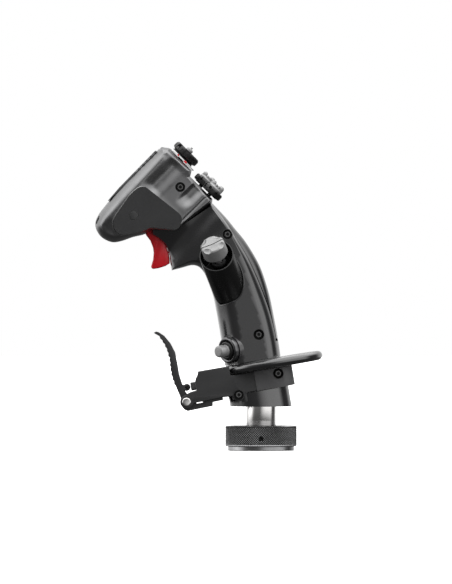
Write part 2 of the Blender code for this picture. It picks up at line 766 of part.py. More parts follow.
def grip():
    cavity_outline = [
        (-20.5, 55.0, 1, 15.4),
        (-23.5, 80.0, 1, 15.4),
        (-27.0, 98.0, 1, 15.4),
        (-30.0, 109.0, 1, 15.4),
        (-35.0, 122.0, 1, 15.4),
        (-40.0, 131.0, 1, 14.0),
        (-47.0, 136.0, 1, 12.0),
        (-51.0, 150.0, 1, 12.0),
        (-37.0, 163.0, 1, 13.5),
        (-28.0, 156.5, 1, 14.0),
        (-18.0, 142.5, 1, 14.8),
        (-7.5, 124.0, 1, 15.4),
        (-1.5, 108.0, 1, 15.4),
        (2.5, 94.0, 1, 15.4),
        (6.5, 77.0, 1, 15.4),
        (10.5, 55.0, 1, 15.4),
    ]
    cavity_levels = [(0, 0), (0.6, 0), (1.0, 4.5)]
    slot = box("trigger_slot", (-90, -TRIGGER_SLOT, 129.6), (-56.5, TRIGGER_SLOT, 160.5), cutters)
    passage = cylinder("loom_passage", 5.5, -13, 13, cutters, (-46, 0, 158.5), (-0.6, 0, 0.8), 24)
    screws = {"upper": GRIP_SCREW_UPPER, "lower": GRIP_SCREW_LOWER}
    tube_room = cylinder(
        "side_tube_room",
        SIDE_TUBE_RADIUS + GAP,
        -SIDE_TUBE_LENGTH - 1.5,
        5,
        cutters,
        SIDE_HAT_RIM,
        SIDE_HAT_AXIS,
        40,
    )

    for side, hand, edge in ((-1, "left", SEAM_EDGE), (1, "right", BACK_EDGE)):
        outline = grip_front() + grip_back(edge)
        shell = half_shell("grip_shell_" + hand, outline, GRIP_LEVELS, side, parts)
        cut(shell, half_shell("grip_cavity_" + hand, cavity_outline, cavity_levels, side, cutters, -2.0))
        cut(shell, slot, passage)
        for name, (x, z) in screws.items():
            radius = 4.2 if name == "upper" else 4.8
            label = name + "_" + hand
            place = (x, 0, z)
            join(shell, cylinder("boss_" + label, radius, 0.6, 16.6, cutters, place, (0, side, 0), 20))
            bore_end = 30 if side < 0 else 9
            bore_radius = PIN_RADIUS + CLEAR
            cut(shell, cylinder("bore_" + label, bore_radius, -5, bore_end, cutters, place, (0, side, 0), 16))
            if side < 0:
                cut(shell, cylinder("recess_" + name, SCREW_RECESS, 14.4, 30, cutters, place, (0, -1, 0), 24))
        if side < 0:
            cut(shell, tube_room)
            pad_radius = PINKY_BEZEL_RADIUS + 0.3
            join(shell, cylinder("pinky_pad", pad_radius, -4.5, 0, cutters, PINKY_SEAT, PINKY_AXIS, 32))
            cut(shell, cylinder("pinky_face", 10.6, 0, 8, cutters, PINKY_SEAT, PINKY_AXIS, 32))
            cut(shell, cylinder("pinky_bore", 6.1, -12, 5, cutters, PINKY_SEAT, PINKY_AXIS, 24))
        else:
            lip = [(x, z, 1.0, 9.0) for x, z in [(-33.0, 171.6)] + BACK_EDGE[:6]]
            lip += [(x + 0.35, z + 0.15, 0.0, 9.0) for x, z in reversed(SEAM_EDGE[:6])]
            lip_levels = [(0, 0), (0.45, 0.25), (0.8, 0.8), (1.0, 1.5)]
            join(shell, half_shell("back_lip", lip, lip_levels, -1, cutters, -1.2))
        for change in shell.modifiers:
            change.solver = "MANIFOLD"
        paint(shell, *BLACK)

    for name, (x, z) in screws.items():
        screw("grip_screw_" + name, (x, -17.0, z), (0, -1, 0), 25.0)


# ---- Head -------------------------------------------------------------------------------------
HEAD_LEVELS = [(0, 0), (0.5, 0.2), (0.68, 1.1), (0.82, 2.7), (0.93, 5.0), (1.0, 8.0)]


def head():
    wide = HEAD_HALF_WIDTH
    rear = HEAD_REAR_WIDTH
    outline = head_points(
        [
            (96.0, 199.6, 0.8, rear),
            (78.0, 199.6, 0.95, wide - 1),
            (60.0, 199.4, 1.0, wide),
            (44.0, 198.2, 1.0, wide),
            (36.0, 197.0, 0.9, wide - 1),
            (30.5, 194.6, 0.8, wide - 2),
            (27.6, 190.4, 0.7, wide - 2.5),
            (26.6, 184.6, 0.6, wide - 2.5),
            (28.1, 179.0, 0.5, wide - 2),
            (30.6, 175.4, 0.4, wide - 2),
            (35.4, 172.2, 0.35, wide - 1),
            (42.3, 168.9, 0.3, wide),
            (49.8, 164.3, 0.25, wide),
            (54.9, 163.2, 0.25, wide),
            (68.5, 149.4, 0.25, wide),
            (74.1, 149.8, 0.2, wide - 1),
            (98.3, 146.8, 0.2, rear),
            (100.5, 148.5, 0.25, rear),
            (HAT_FACE_LOWER, 170.6, 0.25, rear),
            (HAT_FACE_UPPER, 172.9, 0.25, rear),
            (HAT_FACE_UPPER, 195.0, 0.5, rear - 1),
            (101.0, 199.2, 0.7, rear - 1),
        ]
    )
    outline.reverse()
    cavity = head_points(
        [
            (91.0, 195.0, 1, 17),
            (60.0, 195.0, 1, 18.5),
            (46.0, 194.0, 1, 18.5),
            (38.0, 190.0, 1, 18.0),
            (36.0, 184.0, 1, 18.0),
            (38.0, 177.0, 1, 18.5),
            (46.0, 172.5, 1, 19.5),
            (57.0, 167.0, 1, 19.5),
            (70.0, 154.5, 1, 19.0),
            (95.0, 151.5, 1, 17.5),
            (96.9, 153.0, 1, 17.5),
            (96.9, 174.0, 1, 17.5),
            (100.4, 176.5, 1, 17.0),
            (100.4, 193.0, 1, 17.0),
        ]
    )
    cavity.reverse()
    cavity_levels = [(0, 0), (0.6, 0), (1.0, 3.5)]
    opening = box("trigger_opening", (-82.6, -TRIGGER_SLOT, 138), (-56.5, TRIGGER_SLOT, 160.5), cutters)
    out = (1, 0, 1)
    hat_holes = []
    for name, (up, across), radius in (("trim", TRIM_HAT, 5.2), ("tms", TMS_HAT, 4.0), ("dms", DMS_HAT, 4.0)):
        x, z = head_point(0, up)
        hat_holes.append(cylinder(name + "_hole", radius, 93, 110, cutters, (x, across, z), out, 24))
    passage = bpy.data.objects["loom_passage"]
    release = cylinder("release_hole", 2.9, 196, 215, cutters, (-69.9, -4.5, 0), (0, 0, 1), 20)
    px, pz = TRIGGER_PIVOT
    sx, sz = head_point(*HEAD_SCREW)

    for side, hand in ((-1, "left"), (1, "right")):
        shell = half_shell("head_shell_" + hand, outline, HEAD_LEVELS, side, parts)
        cut(shell, half_shell("head_cavity_" + hand, cavity, cavity_levels, side, cutters, -2.0))
        pin_boss = cylinder("pin_boss_" + hand, 3.6, 7.6, 20.5, cutters, (px, 0, pz), (0, side, 0), 20)
        screw_boss = cylinder("screw_boss_" + hand, 4.4, 0.6, 19.5, cutters, (sx, 0, sz), (0, side, 0), 20)
        join(shell, screw_boss)
        cut(shell, opening, passage)
        join(shell, pin_boss)
        cut(shell, cylinder("pin_bore_" + hand, 1.8, 0, 16.5, cutters, (px, 0, pz), (0, side, 0), 16))
        hole_end = 30 if side < 0 else 10
        cut(shell, cylinder("head_bore_" + hand, 1.7, -5, hole_end, cutters, (sx, 0, sz), (0, side, 0), 16))
        cut(shell, hat_holes[0], hat_holes[1 if side > 0 else 2])
        nose = (NOSE_SCREW[0], side * NOSE_SCREW[1], NOSE_SCREW[2])
        nose_axis = (NOSE_SCREW_AXIS[0], side * NOSE_SCREW_AXIS[1], NOSE_SCREW_AXIS[2])
        cut(shell, cylinder("nose_recess_" + hand, 3.1, -2.4, 4, cutters, nose, nose_axis, 20))
        cut(shell, cylinder("nose_bore_" + hand, 1.6, -9, 0, cutters, nose, nose_axis, 14))
        toward = Vector(nose_axis).normalized()
        top = [place - 0.5 * way for place, way in zip(nose, toward)]
        screw("nose_screw_" + hand, top, nose_axis, 7.0, 2.8, 1.6, 1.3)
        if side < 0:
            cut(shell, cylinder("head_recess", 3.2, 18.6, 30, cutters, (sx, 0, sz), (0, -1, 0), 20))
            cut(shell, release)
        paint(shell, *HEAD_GREY)
    screw("head_screw", (sx, -20.8, sz), (0, -1, 0), 29.0, 2.9, 1.9, 1.4)

    ridge_outline = [
        (52.0, 199.3),
        (60.0, 199.75),
        (78.0, 199.95),
        (96.0, 199.95),
        (96.6, 200.5),
        (96.0, 201.2),
        (60.0, 200.8),
        (52.0, 199.9),
    ]
    ridge = prism("head_ridge_cover", head_points(ridge_outline), -8.5, 8.5, parts)
    soften(ridge, 0.25, 1, 50)
    paint(ridge, *HEAD_GREY)

    panel_outline = [
        (67.0, 190.9),
        (71.0, 190.2),
        (73.4, 187.5),
        (77.0, 157.5),
        (76.0, 153.3),
        (70.0, 150.6),
        (67.0, 151.6),
        (55.6, 165.4),
        (50.0, 167.2),
        (42.0, 172.4),
        (37.5, 175.6),
        (36.6, 181.0),
        (38.6, 185.0),
        (42.6, 187.6),
        (48.0, 188.6),
        (62.0, 191.0),
    ]
    plug_x, plug_z = head_point(*PANEL_PLUG)
    plug_hole = cylinder("plug_hole", 3.3, -30, 30, cutters, (plug_x, 0, plug_z), (0, 1, 0), 20)
    for side, hand in ((-1, "left"), (1, "right")):
        low, high = sorted((side * (wide + GAP), side * (wide + 1.9)))
        panel = prism("head_panel_" + hand, head_points(panel_outline), low, high, parts)
        soften(panel, 0.5, 1, 50)
        cut(panel, plug_hole)
        paint(panel, *MATTE)
        plug = cylinder(
            "panel_plug_" + hand, 3.0, wide + GAP, wide + 1.8, parts, (plug_x, 0, plug_z), (0, side, 0), 20
        )
        paint(plug, *MATTE)

    board_x, board_z = head_point(83.0, 178.0)
    board = box("main_board", (-15, -13, 0), (15, 13, 1.6), parts, (board_x, 0, board_z), math.radians(45))
    paint(board, *BOARD_GREEN)

    button = lathe(
        "release_button",
        [(0, 0.9), (1.6, 0.7), (2.3, 0.1), (2.6, -0.8), (2.6, -7.5), (0, -7.5)],
        parts,
        (-69.9, -4.5, 210.4),
        (0, 0, 1),
        20,
    )
    paint(button, *SILVER)


# ---- Trigger ----------------------------------------------------------------------------------
def trigger():
    px, pz = TRIGGER_PIVOT
    outline = [
        (-80.6, 150.9),
        (-77.4, 146.8),
        (-75.6, 142.0),
        (-75.1, 138.4),
        (-75.5, 133.5),
        (-76.9, 129.0),
        (-76.8, 127.6),
        (-75.4, 127.0),
        (-71.5, 127.6),
        (-66.8, 129.1),
        (-63.9, 130.9),
        (-63.9, 134.0),
        (-64.6, 138.5),
        (-66.4, 143.0),
        (-66.4, 150.0),
        (-58.6, 155.0),
        (-58.6, 157.7),
        (-66.2, 160.2),
        (-68.6, 162.1),
        (-71.6, 162.4),
        (-74.2, 161.0),
        (-75.6, 158.2),
        (-80.6, 154.2),
    ]
    blade = prism("trigger", outline, -TRIGGER_HALF_WIDTH, TRIGGER_HALF_WIDTH, parts, TRIGGER_PIVOT)
    soften(blade, 1.0, 2, 60)
    cut(blade, cylinder("trigger_bore", 1.8, -20, 20, cutters, (px, 0, pz), (0, 1, 0), 16))
    paint(blade, *RED)
    pin = cylinder("trigger_pin", PIN_RADIUS, -16.2, 16.2, parts, (px, 0, pz), (0, 1, 0), 16)
    paint(pin, *STEEL)
    switch = box("trigger_switch", (-64, -3.5, 161.2), (-57, 3.5, 167), parts)
    join(switch, cylinder("switch_nub", 1.0, 160.5, 163, cutters, (-60, 0, 0), (0, 0, 1), 12))
    paint(switch, *BLACK)
    spring = coil("trigger_spring", (-56.9, 0, 138.5), (-1, 0, 0), 0.1, 7.0, 2.2, 0.32, 5)
    paint(spring, *STEEL)


# ---- Hats -------------------------------------------------------------------------------------
def notches(name, count, radius, width, depth, low, high, location, axis, turned=0.0):
    """Boxes set round a circle, to cut battlements in a cap."""
    shapes = []
    frame = Vector(axis).to_track_quat("Z", "Y").to_matrix().to_4x4()
    frame.translation = Vector(location) * MM
    for number in range(count):
        block = box("notch", (radius, -width / 2, low), (radius + depth, width / 2, high), cutters)
        angle = turned + 2 * math.pi * number / count
        block.matrix_world = frame @ Matrix.Rotation(angle, 4, "Z")
        shapes.append(block)
    return apart(name, shapes)


def hat_place(hat, out):
    x, z = head_point(out, hat[0])
    return x, hat[1], z


def gimbal(name, location, axis, outer, inner, height):
    ring = lathe(
        name,
        [(inner, height / 2), (outer, height / 2), (outer, -height / 2), (inner, -height / 2)],
        parts,
        location,
        axis,
        16,
    )
    return paint(ring, *MATTE)


def hats():
    out = (1, 0, 1)
    face = HAT_FACE_UPPER
    pivot = face - 2.8
    centre = hat_place(TRIM_HAT, pivot)

    ring = lathe(
        "trim_hat_ring",
        [(5.6, 1.4), (11.5, 1.4), (12.0, 1.0), (12.0, 0.3), (5.6, 0.3)],
        parts,
        hat_place(TRIM_HAT, face),
        out,
        32,
    )
    paint(ring, (0.75, 0.75, 0.74), 0.25)
    gimbal("trim_hat_gimbal", centre, out, 4.4, 2.9, 2.0)
    base = 2.8
    cap = lathe(
        "trim_hat_cap",
        [
            (0.0, base + 3.8),
            (3.0, base + 3.8),
            (3.0, base + 7.9),
            (9.6, base + 7.9),
            (10.35, base + 7.2),
            (10.35, base + 3.0),
            (6.5, base + 2.4),
            (2.4, base + 2.4),
            (2.4, -2.0),
            (0.0, -2.0),
        ],
        parts,
        centre,
        out,
        32,
    )
    cut(cap, notches("trim_notches", 8, 6.6, 2.6, 6, base + 5.6, base + 10, centre, out))
    paint(cap, *SCREW_BLACK)
    nub = lathe(
        "trim_hat_nub",
        [(0, 6.0), (1.9, 5.8), (2.6, 5.0), (2.6, 0.0), (0, 0.0)],
        parts,
        hat_place(TRIM_HAT, face + 4.8),
        out,
        20,
    )
    paint(nub, *SILVER)

    for name, hat in (("tms", TMS_HAT), ("dms", DMS_HAT)):
        face = HAT_FACE_LOWER
        centre = hat_place(hat, face - 3.0)
        gimbal(name + "_hat_gimbal", centre, out, 3.4, 2.1, 1.6)
        skirt = lathe(
            name + "_hat_skirt",
            [
                (0, 9.0),
                (6.9, 9.0),
                (7.7, 8.3),
                (7.7, 4.8),
                (7.0, 4.4),
                (1.5, 4.4),
                (1.5, -1.8),
                (0, -1.8),
            ],
            parts,
            centre,
            out,
            24,
        )
        cut(skirt, notches(name + "_skirt_notches", 8, 6.2, 1.8, 4, 6.2, 12, centre, out))
        paint(skirt, *SCREW_BLACK)
        crown = lathe(
            name + "_hat_crown",
            [(0, 12.7), (4.9, 12.7), (5.4, 12.2), (5.4, 9.3), (0, 9.3)],
            parts,
            centre,
            out,
            24,
        )
        for label, turned in (("a", 0.0), ("b", math.pi / 2)):
            slot = box("slot", (-8, -1.3, 10.6), (8, 1.3, 15), cutters)
            frame = Vector(out).to_track_quat("Z", "Y").to_matrix().to_4x4()
            frame.translation = Vector(centre) * MM
            slot.matrix_world = frame @ Matrix.Rotation(turned, 4, "Z")
            slot.name = name + "_crown_slot_" + label
            cut(crown, slot)
        paint(crown, *SILVER)


# ---- Side hat and pinky button ----------------------------------------------------------------
def side_controls():
    axis = Vector(SIDE_HAT_AXIS).normalized()
    tube = lathe(
        "side_hat_housing",
        [
            (10.9, 8.0),
            (SIDE_TUBE_RADIUS, 8.0),
            (SIDE_TUBE_RADIUS, -SIDE_TUBE_LENGTH),
            (4.5, -SIDE_TUBE_LENGTH),
            (4.5, -12.0),
            (10.9, -12.0),
        ],
        parts,
        SIDE_HAT_RIM,
        axis,
        32,
    )
    mouth = box("side_hat_mouth", (-25, -25, 0), (25, 25, 25), cutters)
    mouth.location = [value * MM for value in SIDE_HAT_RIM]
    cut(tube, turn_to(mouth, SIDE_HAT_MOUTH))
    paint(tube, *BLACK)
    pivot = [place - 6.5 * way for place, way in zip(SIDE_HAT_RIM, axis)]
    gimbal("side_hat_gimbal", pivot, axis, 5.0, 3.0, 2.2)
    cap = lathe(
        "side_hat_cap",
        [
            (0, 18.2),
            (7.9, 18.2),
            (8.6, 17.5),
            (8.8, 8.1),
            (2.4, 8.1),
            (2.4, -2.4),
            (0, -2.4),
        ],
        parts,
        pivot,
        axis,
        32,
    )
    frame = axis.to_track_quat("Z", "Y").to_matrix().to_4x4()
    frame.translation = Vector(pivot) * MM
    scoops = []
    for number in range(4):
        angle = math.pi / 4 + number * math.pi / 2
        scoop = cylinder("scoop", 2.7, 14.6, 21, cutters, sides=16)
        shift = Matrix.Translation((9.6 * math.cos(angle) * MM, 9.6 * math.sin(angle) * MM, 0))
        scoop.matrix_world = frame @ shift
        scoops.append(scoop)
    cut(cap, apart("side_cap_scoops", scoops))
    slot = box("side_cap_slot", (-12, -0.7, 16.6), (12, 0.7, 21), cutters)
    slot.matrix_world = frame.copy()
    cut(cap, slot)
    paint(cap, *SILVER)

    axis = Vector(PINKY_AXIS).normalized()
    bezel = lathe(
        "pinky_bezel",
        [(6.6, 3.8), (8.0, 3.8), (PINKY_BEZEL_RADIUS, 2.6), (PINKY_BEZEL_RADIUS, GAP), (6.6, GAP)],
        parts,
        PINKY_SEAT,
        axis,
        32,
    )
    paint(bezel, (0.30, 0.30, 0.31), 0.25, 0.9)
    body_profile = [
        (4.6, 4.9),
        (5.9, 4.9),
        (6.2, 4.5),
        (6.2, GAP),
        (5.8, GAP),
        (5.8, -8.5),
        (1.2, -8.5),
        (1.2, -7.0),
        (4.6, -7.0),
    ]
    body = lathe("pinky_body", body_profile, parts, PINKY_SEAT, axis, 24)
    paint(body, *SCREW_BLACK)
    button = lathe(
        "pinky_button",
        [(0, 16.5), (3.4, 16.5), (4.2, 15.7), (4.2, 0.0), (0, 0.0)],
        parts,
        [place - 4.2 * way for place, way in zip(PINKY_SEAT, axis)],
        axis,
        24,
    )
    paint(button, *SILVER)


def loom():
    """The wiring from the connector post up to the board."""
    path = [
        (0.0, 0.0, 15.2),
        (0.0, 0.0, 34.0),
        (-2.6, 0.0, 46.0),
        (-5.6, 0.0, 64.0),
        (-8.0, 0.5, 77.0),
        (-11.5, 4.0, 87.0),
        (-14.0, 7.5, 98.0),
        (-17.0, 8.0, 112.0),
        (-22.0, 7.5, 125.0),
        (-29.5, 6.0, 138.0),
        (-38.0, 3.0, 149.0),
        (-46.0, 0.0, 158.5),
        (-53.0, 0.0, 166.5),
        (-58.5, 0.0, 172.5),
        (-61.5, 0.0, 176.0),
    ]
    curve = bpy.data.curves.new("wiring_loom", "CURVE")
    curve.dimensions = "3D"
    curve.bevel_depth = 1.9 * MM
    curve.bevel_resolution = 2
    curve.use_fill_caps = True
    line = curve.splines.new("POLY")
    line.points.add(len(path) - 1)
    for point, place in zip(line.points, path):
        point.co = (*(value * MM for value in place), 1.0)
    obj = bpy.data.objects.new("wiring_loom", curve)
    parts.objects.link(obj)
    paint(obj, (0.02, 0.02, 0.02), 0.6)


coupling()
base()
lever()
grip()
head()
trigger()
hats()
side_controls()
loom()

for piece in parts.objects:
    if piece.type == "MESH":
        shading = piece.modifiers.new("shading", "WEIGHTED_NORMAL")
        shading.keep_sharp = True
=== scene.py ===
"""Looks of the flight joystick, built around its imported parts. Lengths are in millimetres until placed."""

import json
import math

import bmesh
import bpy
import numpy as np
from mathutils import Matrix, Vector, geometry
from mathutils.bvhtree import BVHTree


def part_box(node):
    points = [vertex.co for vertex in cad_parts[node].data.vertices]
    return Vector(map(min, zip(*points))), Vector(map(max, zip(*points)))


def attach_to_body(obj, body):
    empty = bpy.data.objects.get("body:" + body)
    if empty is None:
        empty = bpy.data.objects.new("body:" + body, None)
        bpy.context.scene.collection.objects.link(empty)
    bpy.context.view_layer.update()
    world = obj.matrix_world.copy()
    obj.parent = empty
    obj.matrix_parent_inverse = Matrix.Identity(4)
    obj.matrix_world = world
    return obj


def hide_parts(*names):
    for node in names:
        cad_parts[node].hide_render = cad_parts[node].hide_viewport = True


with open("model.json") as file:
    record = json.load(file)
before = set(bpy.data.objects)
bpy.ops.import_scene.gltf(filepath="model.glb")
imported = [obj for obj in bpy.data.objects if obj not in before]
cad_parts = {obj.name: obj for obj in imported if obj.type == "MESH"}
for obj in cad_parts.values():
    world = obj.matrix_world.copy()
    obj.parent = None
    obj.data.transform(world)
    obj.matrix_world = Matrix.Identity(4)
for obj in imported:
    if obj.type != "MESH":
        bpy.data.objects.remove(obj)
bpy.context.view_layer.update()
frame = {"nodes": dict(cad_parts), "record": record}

MM = 0.001

body_of_node = {}
for body, members in frame["record"]["behaviour"]["bodies"].items():
    for member in members:
        body_of_node[member] = body
slot_of_node = {entry["node"]: entry["material_slot"] for entry in frame["record"]["subparts"]}
shaped = set()  # the nodes that a piece stands for

# ---- Places that several pieces share ----------------------------------------------------------
# The base is tilted: its points are (along, up) from the middle of the collar's bottom.
COLLAR_BOTTOM = 30.9
BASE_TILT = math.radians(9.6)
BASE_CENTRE = (0, 0, COLLAR_BOTTOM)
BASE_AXIS = (-math.sin(BASE_TILT), 0, math.cos(BASE_TILT))
BASE_TURN = Matrix.Translation(BASE_CENTRE) @ Matrix.Rotation(-BASE_TILT, 4, "Y")
BASE_SCREWS = {"housing_screw_left": (15.7, 20.9), "plate_screw_left": (-13.9, 10.8)}

# The head leans at 45 degrees: its points are (out, up), out along the way its hats point.
HEAD_TURN = Matrix.Rotation(-math.pi / 4, 4, "Y")
HEAD_OUT = (1, 0, 1)
HEAD_SCREW = (90.4, 170.2)
HEAD_SCREW_FACE = -20.8
TRIM_HAT_UP = 183.85
TRIM_HAT_FACE = 104.3
LOWER_HATS = {"tms": (160.9, 10.5), "dms": (152.2, -10.5)}  # how far up, and to which side
LOWER_HAT_PIVOT = 97.5

LEFT = (0, -1, 0)
UP = (0, 0, 1)
GRIP_SCREWS = {"grip_screw_upper": (-23.5, 151.3), "grip_screw_lower": (-1.6, 81.3)}
SIDE_HAT_RIM = (-31.2, -31.5, 136.6)
SIDE_HAT_AXIS = (-0.272, -0.656, 0.704)
SIDE_HAT_MOUTH = (-0.17, -0.86, 0.48)  # the way the tube's slanted mouth faces
SIDE_HAT_PIVOT = -6.5
SIDE_TUBE = 12.0
PINKY_SEAT = (-21.2, -13.8, 70.6)
PINKY_AXIS = (-0.731, -0.671, -0.12)


def base_point(along, up):
    """A point of the tilted base, as world X and Z."""
    x = along * math.cos(BASE_TILT) - up * math.sin(BASE_TILT)
    return x, COLLAR_BOTTOM + along * math.sin(BASE_TILT) + up * math.cos(BASE_TILT)


def head_point(out, up):
    """A point of the slanted head, as world X and Z."""
    return (out - up) / math.sqrt(2), (out + up) / math.sqrt(2)


# ---- Camera, light and floor -------------------------------------------------------------------
LENS = 704.5
DISTANCE = 8.0
RISE = math.radians(0.3)
VIEW_CENTRE = Vector((-0.0245, 0, 0.1109))

# Brightness round the object, by bearing in degrees: 0 is the camera's side and 90 is the pilot's.
LIGHT_PANELS = [
    (-180, 0.34),
    (-164, 0.34),
    (-122, 0.42),
    (-98, 0.80),
    (-80, 0.72),
    (-62, 0.12),
    (-48, 0.06),
    (-8, 0.06),
    (14, 0.36),
    (32, 0.48),
    (80, 0.48),
    (98, 0.03),
    (124, 0.03),
    (138, 0.24),
    (170, 0.24),
]
CEILING = 0.85
GROUND = 0.03


def camera():
    data = bpy.data.cameras.new("camera")
    data.lens = LENS
    data.clip_start = 0.1
    data.clip_end = 50
    obj = bpy.data.objects.new("camera", data)
    bpy.context.scene.collection.objects.link(obj)
    obj.location = VIEW_CENTRE + Vector((0, -math.cos(RISE), math.sin(RISE))) * DISTANCE
    obj.rotation_euler = (math.pi / 2 - RISE, 0, 0)
    bpy.context.scene.camera = obj


def shader_node(tree, kind, links=None, values=None, **settings):
    """A shader node with its settings and values set, and its inputs linked."""
    made = tree.nodes.new(kind)
    for name, value in settings.items():
        setattr(made, name, value)
    for name, value in (values or {}).items():
        made.inputs[name].default_value = value
    for name, source in (links or {}).items():
        tree.links.new(source, made.inputs[name])
    return made


def grey(level):
    return (level, level, level, 1)


def studio():
    """A white studio: panels of light stand round the object, with dark gaps between them."""
    world = bpy.data.worlds.new("studio")
    bpy.context.scene.world = world
    bpy.context.scene.view_settings.view_transform = "Standard"
    world.use_nodes = True
    tree = world.node_tree
    tree.nodes.clear()

    coordinates = shader_node(tree, "ShaderNodeTexCoord")
    way = shader_node(tree, "ShaderNodeSeparateXYZ", {0: coordinates.outputs["Generated"]}).outputs
    front = shader_node(tree, "ShaderNodeMath", {0: way["Y"]}, {1: -1}, operation="MULTIPLY")
    sides = {0: way["X"], 1: front.outputs[0]}
    bearing = shader_node(tree, "ShaderNodeMath", sides, operation="ARCTAN2")
    whole = {"From Min": -math.pi, "From Max": math.pi}
    turn = shader_node(tree, "ShaderNodeMapRange", {"Value": bearing.outputs[0]}, whole)
    panels_of_light = shader_node(tree, "ShaderNodeValToRGB", {0: turn.outputs[0]})
    ramp = panels_of_light.color_ramp
    ramp.elements[0].color = grey(LIGHT_PANELS[0][1])
    ramp.elements[1].color = grey(LIGHT_PANELS[-1][1])
    for degrees, level in LIGHT_PANELS[1:]:
        ramp.elements.new((degrees + 180) / 360).color = grey(level)

    def blended(start, end, lower, level):
        """The light below, passing into one even level between two heights."""
        span = {"From Min": start, "From Max": end}
        kind = "ShaderNodeMapRange"
        share = shader_node(tree, kind, {"Value": way["Z"]}, span, interpolation_type="SMOOTHSTEP")
        links = {0: share.outputs[0], 6: lower}
        return shader_node(tree, "ShaderNodeMix", links, {7: grey(level)}, data_type="RGBA").outputs[2]

    above = blended(0.35, 0.8, panels_of_light.outputs[0], CEILING)
    below = blended(-0.04, -0.26, above, GROUND)
    glow = shader_node(tree, "ShaderNodeBackground", {"Color": below}, {"Strength": 2.6})
    white = shader_node(tree, "ShaderNodeBackground", None, {"Color": grey(1)})
    rays = shader_node(tree, "ShaderNodeLightPath")
    links = {0: rays.outputs["Is Camera Ray"], 1: glow.outputs[0], 2: white.outputs[0]}
    chosen = shader_node(tree, "ShaderNodeMixShader", links)
    shader_node(tree, "ShaderNodeOutputWorld", {"Surface": chosen.outputs[0]})


def floor():
    """A pale floor that doesn't shade the object from below."""
    work = bmesh.new()
    bmesh.ops.create_grid(work, x_segments=1, y_segments=1, size=6)
    mesh = bpy.data.meshes.new("floor")
    work.to_mesh(mesh)
    work.free()
    obj = bpy.data.objects.new("floor", mesh)
    bpy.context.scene.collection.objects.link(obj)
    pale = bpy.data.materials.new("pale_floor")
    pale.use_nodes = True
    tree = pale.node_tree
    shader = tree.nodes["Principled BSDF"]
    shader.inputs["Base Color"].default_value = grey(0.93)
    shader.inputs["Roughness"].default_value = 0.9
    shader.inputs["Specular IOR Level"].default_value = 0.1
    shader.inputs["Emission Color"].default_value = grey(1)
    shader.inputs["Emission Strength"].default_value = 0.5
    clear = shader_node(tree, "ShaderNodeBsdfTransparent")
    rays = shader_node(tree, "ShaderNodeLightPath")
    links = {0: rays.outputs["Is Camera Ray"], 1: clear.outputs[0], 2: shader.outputs[0]}
    chosen = shader_node(tree, "ShaderNodeMixShader", links)
    tree.links.new(chosen.outputs[0], tree.nodes["Material Output"].inputs["Surface"])
    mesh.materials.append(pale)


# ---- Materials ---------------------------------------------------------------------------------
MOTTLE_SCALE = 90
SHEEN_SCALE = 260
GRAIN_SCALE = 3000
COAT_ROUGHNESS = 0.15


def finish(
    name,
    colour,
    roughness,
    metallic=0.0,
    relief=0.02,
    mottle=0.08,
    spread=0.06,
    coat=0.0,
    specular=0.5,
):
    """A surface with a moulded or blasted grain, faint mottling and an uneven sheen."""
    material = bpy.data.materials.new(name)
    material.use_nodes = True
    tree = material.node_tree
    shader = tree.nodes["Principled BSDF"]
    shader.inputs["Metallic"].default_value = metallic
    shader.inputs["Coat Weight"].default_value = coat
    shader.inputs["Specular IOR Level"].default_value = specular
    shader.inputs["Coat Roughness"].default_value = COAT_ROUGHNESS
    place_on_object = shader_node(tree, "ShaderNodeTexCoord").outputs["Object"]

    def noise(scale, detail):
        values = {"Scale": scale, "Detail": detail}
        return shader_node(tree, "ShaderNodeTexNoise", {"Vector": place_on_object}, values).outputs[0]

    tint = shader_node(tree, "ShaderNodeValToRGB", {0: noise(MOTTLE_SCALE, 4)})
    for element, position, share in zip(tint.color_ramp.elements, (0.3, 0.7), (1 - mottle, 1 + mottle)):
        element.position = position
        element.color = (*(value * share for value in colour), 1)
    tree.links.new(tint.outputs[0], shader.inputs["Base Color"])

    span = {
        "From Min": 0.3,
        "From Max": 0.7,
        "To Min": roughness - spread,
        "To Max": roughness + spread,
    }
    sheen = shader_node(tree, "ShaderNodeMapRange", {"Value": noise(SHEEN_SCALE, 6)}, span)
    tree.links.new(sheen.outputs[0], shader.inputs["Roughness"])

    depth = {"Strength": 0.6, "Distance": relief * MM}
    bump = shader_node(tree, "ShaderNodeBump", {"Height": noise(GRAIN_SCALE, 2)}, depth)
    tree.links.new(bump.outputs[0], shader.inputs["Normal"])
    return material


